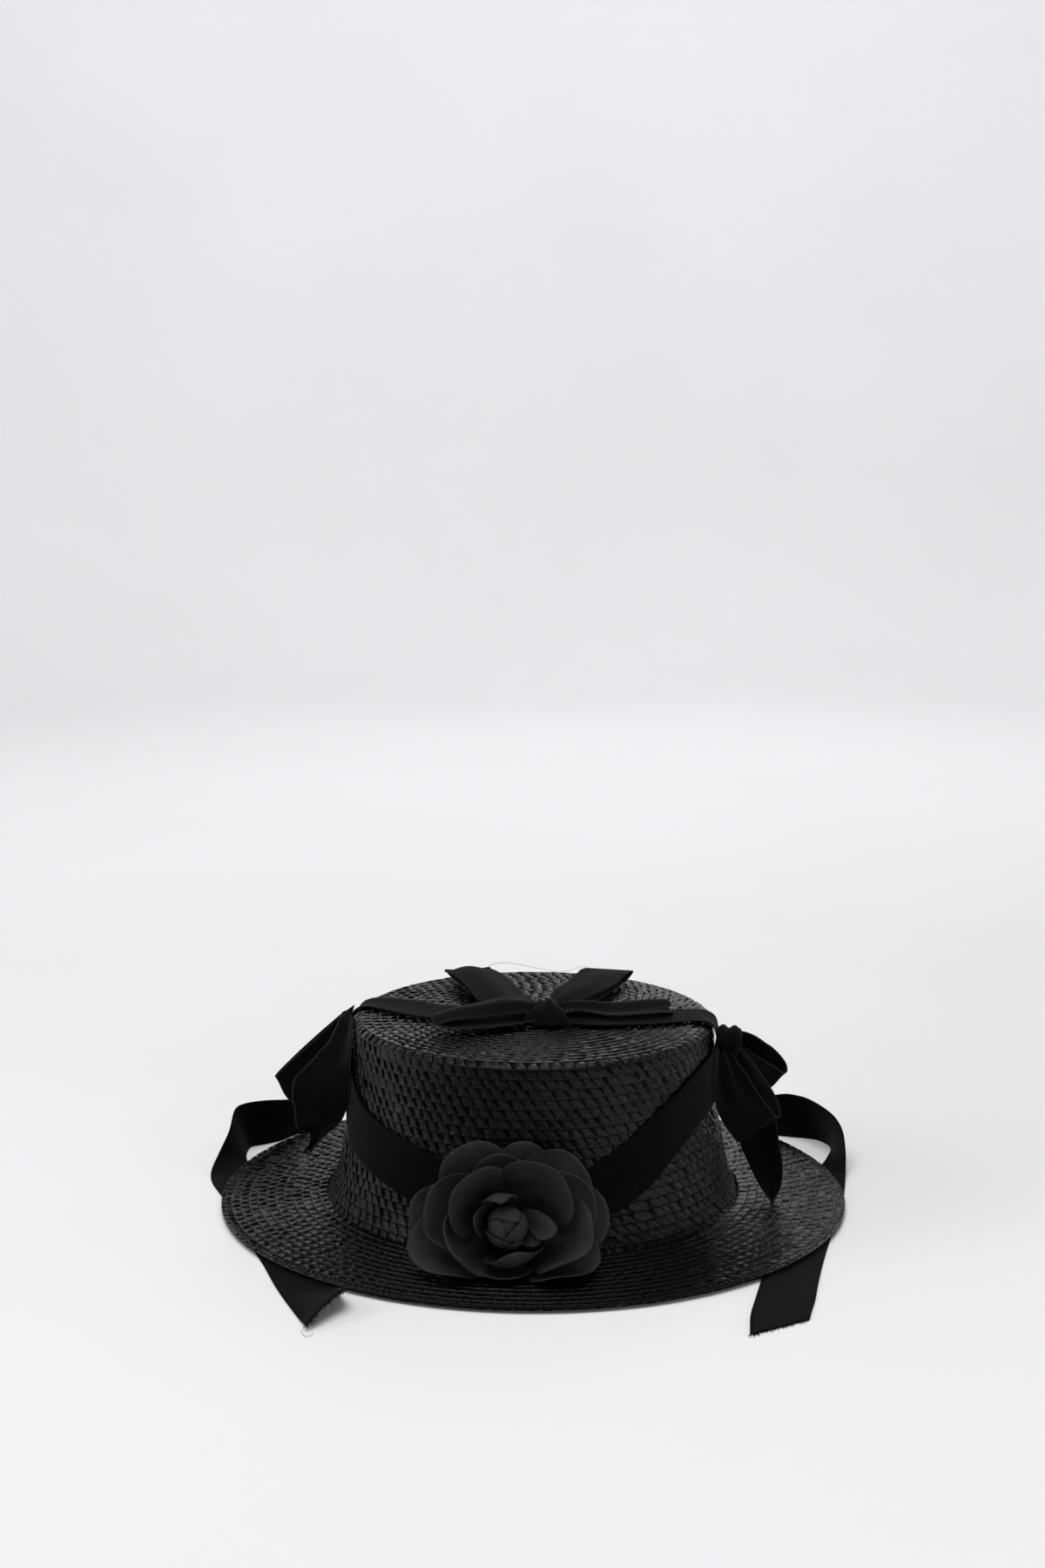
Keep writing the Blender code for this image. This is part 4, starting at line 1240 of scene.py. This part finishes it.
def mark_painted_light(obj, values):
    """How much painted light each point gets, as paler colour towards its cloth's edge."""
    layer = obj.data.attributes.new(PAINTED_LIGHT_NAME, "FLOAT", "POINT")
    layer.data.foreach_set("value", np.ascontiguousarray(values, float))


def petal(row, material):
    points = petal_points(row)
    mesh = add_mesh(row.name + "_cloth", material, *cloth_shell(points, PETAL_HALF, ribbed=False))
    obj = piece(mesh, "flower_cloth", row.name)
    share = np.linspace(0, 1, PETAL_GRID)[:, None]
    side = np.abs(np.linspace(-1, 1, PETAL_GRID))[None, :]
    # Painted light and shade: paler towards the rim and the outer corners, darker towards the petal's
    # base
    nearness = np.maximum(share**2, 0.8 * (share * side) ** 2)
    mark_painted_light(obj, np.concatenate([nearness, nearness], axis=1).ravel())


def backing(material):
    """The disc behind the petals, turned round the flower's axis."""
    around = 64
    rows = spline_table(BACKING_PROFILE, 6)
    radius = np.maximum(rows[:, :1], 0.05)
    turn, radius, height = np.broadcast_arrays(angles_round(around)[None, :], radius, rows[:, 1:])
    points = flower_points(radius, turn, height)
    uvs = np.stack([turn * WEAVE_ROUND, height], axis=-1)
    quads = grid_quads(len(rows), around, around=True)
    mesh = add_mesh("flower_backing_cloth", material, points, quads, uvs)
    piece(mesh, "flower_cloth", "flower_backing")


def bud_points(polar, turn, stand):
    """Points over the bud, from the angle to its axis, the angle round it and the height over it."""
    reach = BUD_RADIUS + stand
    return flower_points(reach * np.sin(polar), turn, BUD_MIDDLE + BUD_STRETCH * reach * np.cos(polar))


def bud(material):
    """The closed bud: a core with leaves wrapped over each other."""
    rings, around = 26, 48
    polar = np.linspace(BUD_TOP, math.pi - BUD_OPEN_FOOT, rings)[:, None]
    polar, turn = np.broadcast_arrays(polar, angles_round(around)[None, :])
    core = bud_points(polar, turn, 0).reshape(-1, 3)
    uvs = np.stack([turn * WEAVE_ROUND, polar * WEAVE_DOWN], axis=-1).reshape(-1, 2)
    parts = [(core, grid_quads(rings, around, around=True), uvs)]
    for leaf in BUD_LEAVES:
        share = np.linspace(0, 1, 22)[:, None]
        side = np.linspace(-1, 1, 25)[None, :]
        tip = math.radians(leaf.tip)
        polar = LEAF_FOOT + (tip - LEAF_FOOT) * share * (1 - LEAF_ROUND * np.abs(side) ** 2 * share)
        closing = 1 - LEAF_NARROW * np.clip(share - LEAF_NARROW_FROM, 0, 1) ** LEAF_NARROW_POWER
        turn = np.radians(leaf.angle + side * leaf.spread * closing)
        stand = leaf.stand + leaf.slant * side * share + LEAF_TIP_LIFT * share**6
        points = bud_points(polar, turn, stand)
        parts.append(cloth_shell(points[::-1], PETAL_HALF, ribbed=False))
    points, quads, uvs = joined(parts)
    mesh = add_mesh("flower_bud_cloth", material, points, quads, uvs)
    # Painted light: the whole bud takes the paler rim colour, as it stands out into the light
    mark_painted_light(piece(mesh, "flower_cloth", "flower_bud"), np.ones(len(points)))


def flower(material):
    """The backing, the petals from the outer ones inwards, and the bud."""
    backing(material)
    for row in PETALS:
        petal(row, material)
    bud(material)


# Where the ribbon's cut ends fray: the ribbon, how many threads, the longest, how far they sink
Fray = namedtuple("Fray", "name count longest sink")
FRAYS = [
    Fray("left_tie", 190, 2.6, 0.9),
    Fray("right_tie", 170, 2.2, 0.6),
    Fray("left_tail", 90, 2.2, 0.7),
    Fray("left_tail_low", 12, 1.6, 0.4),
    Fray("right_tail", 16, 1.6, 0.3),
]
THREAD_HALF = 0.14
STRAY_HALF = THREAD_HALF * 0.65
THREAD_SIDES = 4
THREAD_TIP = 0.6
THREAD_HIDDEN = 0.4
THREAD_SPREAD = 0.35
THREAD_BEND = 0.25
ANY_OTHER_WAY = np.array((0.31, 0.27, 0.91))
FLOOR_HEIGHT = 0.15

# A stray thread that arches over the back of the tip
STRAY_THREAD = [
    (-21, 73, 86.6),
    (-20, 72, 89),
    (-12, 71, 90.5),
    (2, 70, 88.2),
    (14, 69, 86.6),
    (24, 68, 89.5),
    (28, 67.5, 87.5),
]

# A thread that loops at the left tie's end
LOOPED_THREAD = [
    (-87, -160, 2.2),
    (-88.5, -163.5, 1.0),
    (-87, -166.5, 0.4),
    (-84.5, -165.5, 0.4),
    (-84.8, -162, 1.2),
]


def tube(path, half):
    """A thread along a path: its points, quads and UV places."""
    path = np.asarray(path, float)
    along = unit(np.gradient(path, axis=0))
    side = unit(np.cross(along, ANY_OTHER_WAY))
    other = np.cross(along, side)
    turn = angles_round(THREAD_SIDES)[None, :, None]
    thin = np.linspace(1, THREAD_TIP, len(path))[:, None, None] * half
    points = path[:, None] + thin * (side[:, None] * np.cos(turn) + other[:, None] * np.sin(turn))
    quads = grid_quads(len(path), THREAD_SIDES, around=True)
    ends = [[0, 1, 2, 3], [THREAD_SIDES * (len(path) - 1) + k for k in (3, 2, 1, 0)]]
    return points.reshape(-1, 3), np.vstack([quads[:, ::-1], ends]), points[..., :2].reshape(-1, 2)


def frayed_end(row, points):
    """Loose threads that carry on past the cut end of a ribbon."""
    found = []
    end = points[-1]
    way = unit(end - points[-4])
    for _ in range(row.count):
        place = RNG.uniform(0, ACROSS - 1.001)
        low, share = int(place), place % 1
        start = end[low] * (1 - share) + end[low + 1] * share
        heading = way[low] + RNG.normal(0, THREAD_SPREAD, 3) * (1, 1, 0.5)
        length = row.longest * RNG.uniform(0.25, 1) ** 1.5
        t = np.linspace(0, 1, 5)[:, None]
        bend = RNG.normal(0, THREAD_BEND, 3) * length * t**2
        path = start - way[low] * THREAD_HIDDEN + heading * length * t + bend
        path[:, 2] -= row.sink * t[:, 0] ** 2
        path[:, 2] = np.maximum(path[:, 2], FLOOR_HEIGHT)
        found.append(tube(path, THREAD_HALF * RNG.uniform(0.7, 1.2)))
    return found


def threads(ribbon_points, material):
    parts = []
    for row in FRAYS:
        parts += frayed_end(row, ribbon_points[row.name])
    for table in (STRAY_THREAD, LOOPED_THREAD):
        parts.append(tube(spline_table(table, 8), STRAY_HALF))
    piece(add_mesh("loose_threads", material, *joined(parts)), "black_grosgrain")


def main():
    camera_and_light()
    straw()
    grosgrain = ribbon_material()
    threads(ribbons(grosgrain), grosgrain)
    for row in KNOTS:
        knot(row, grosgrain)
    flower(flower_material())


main()
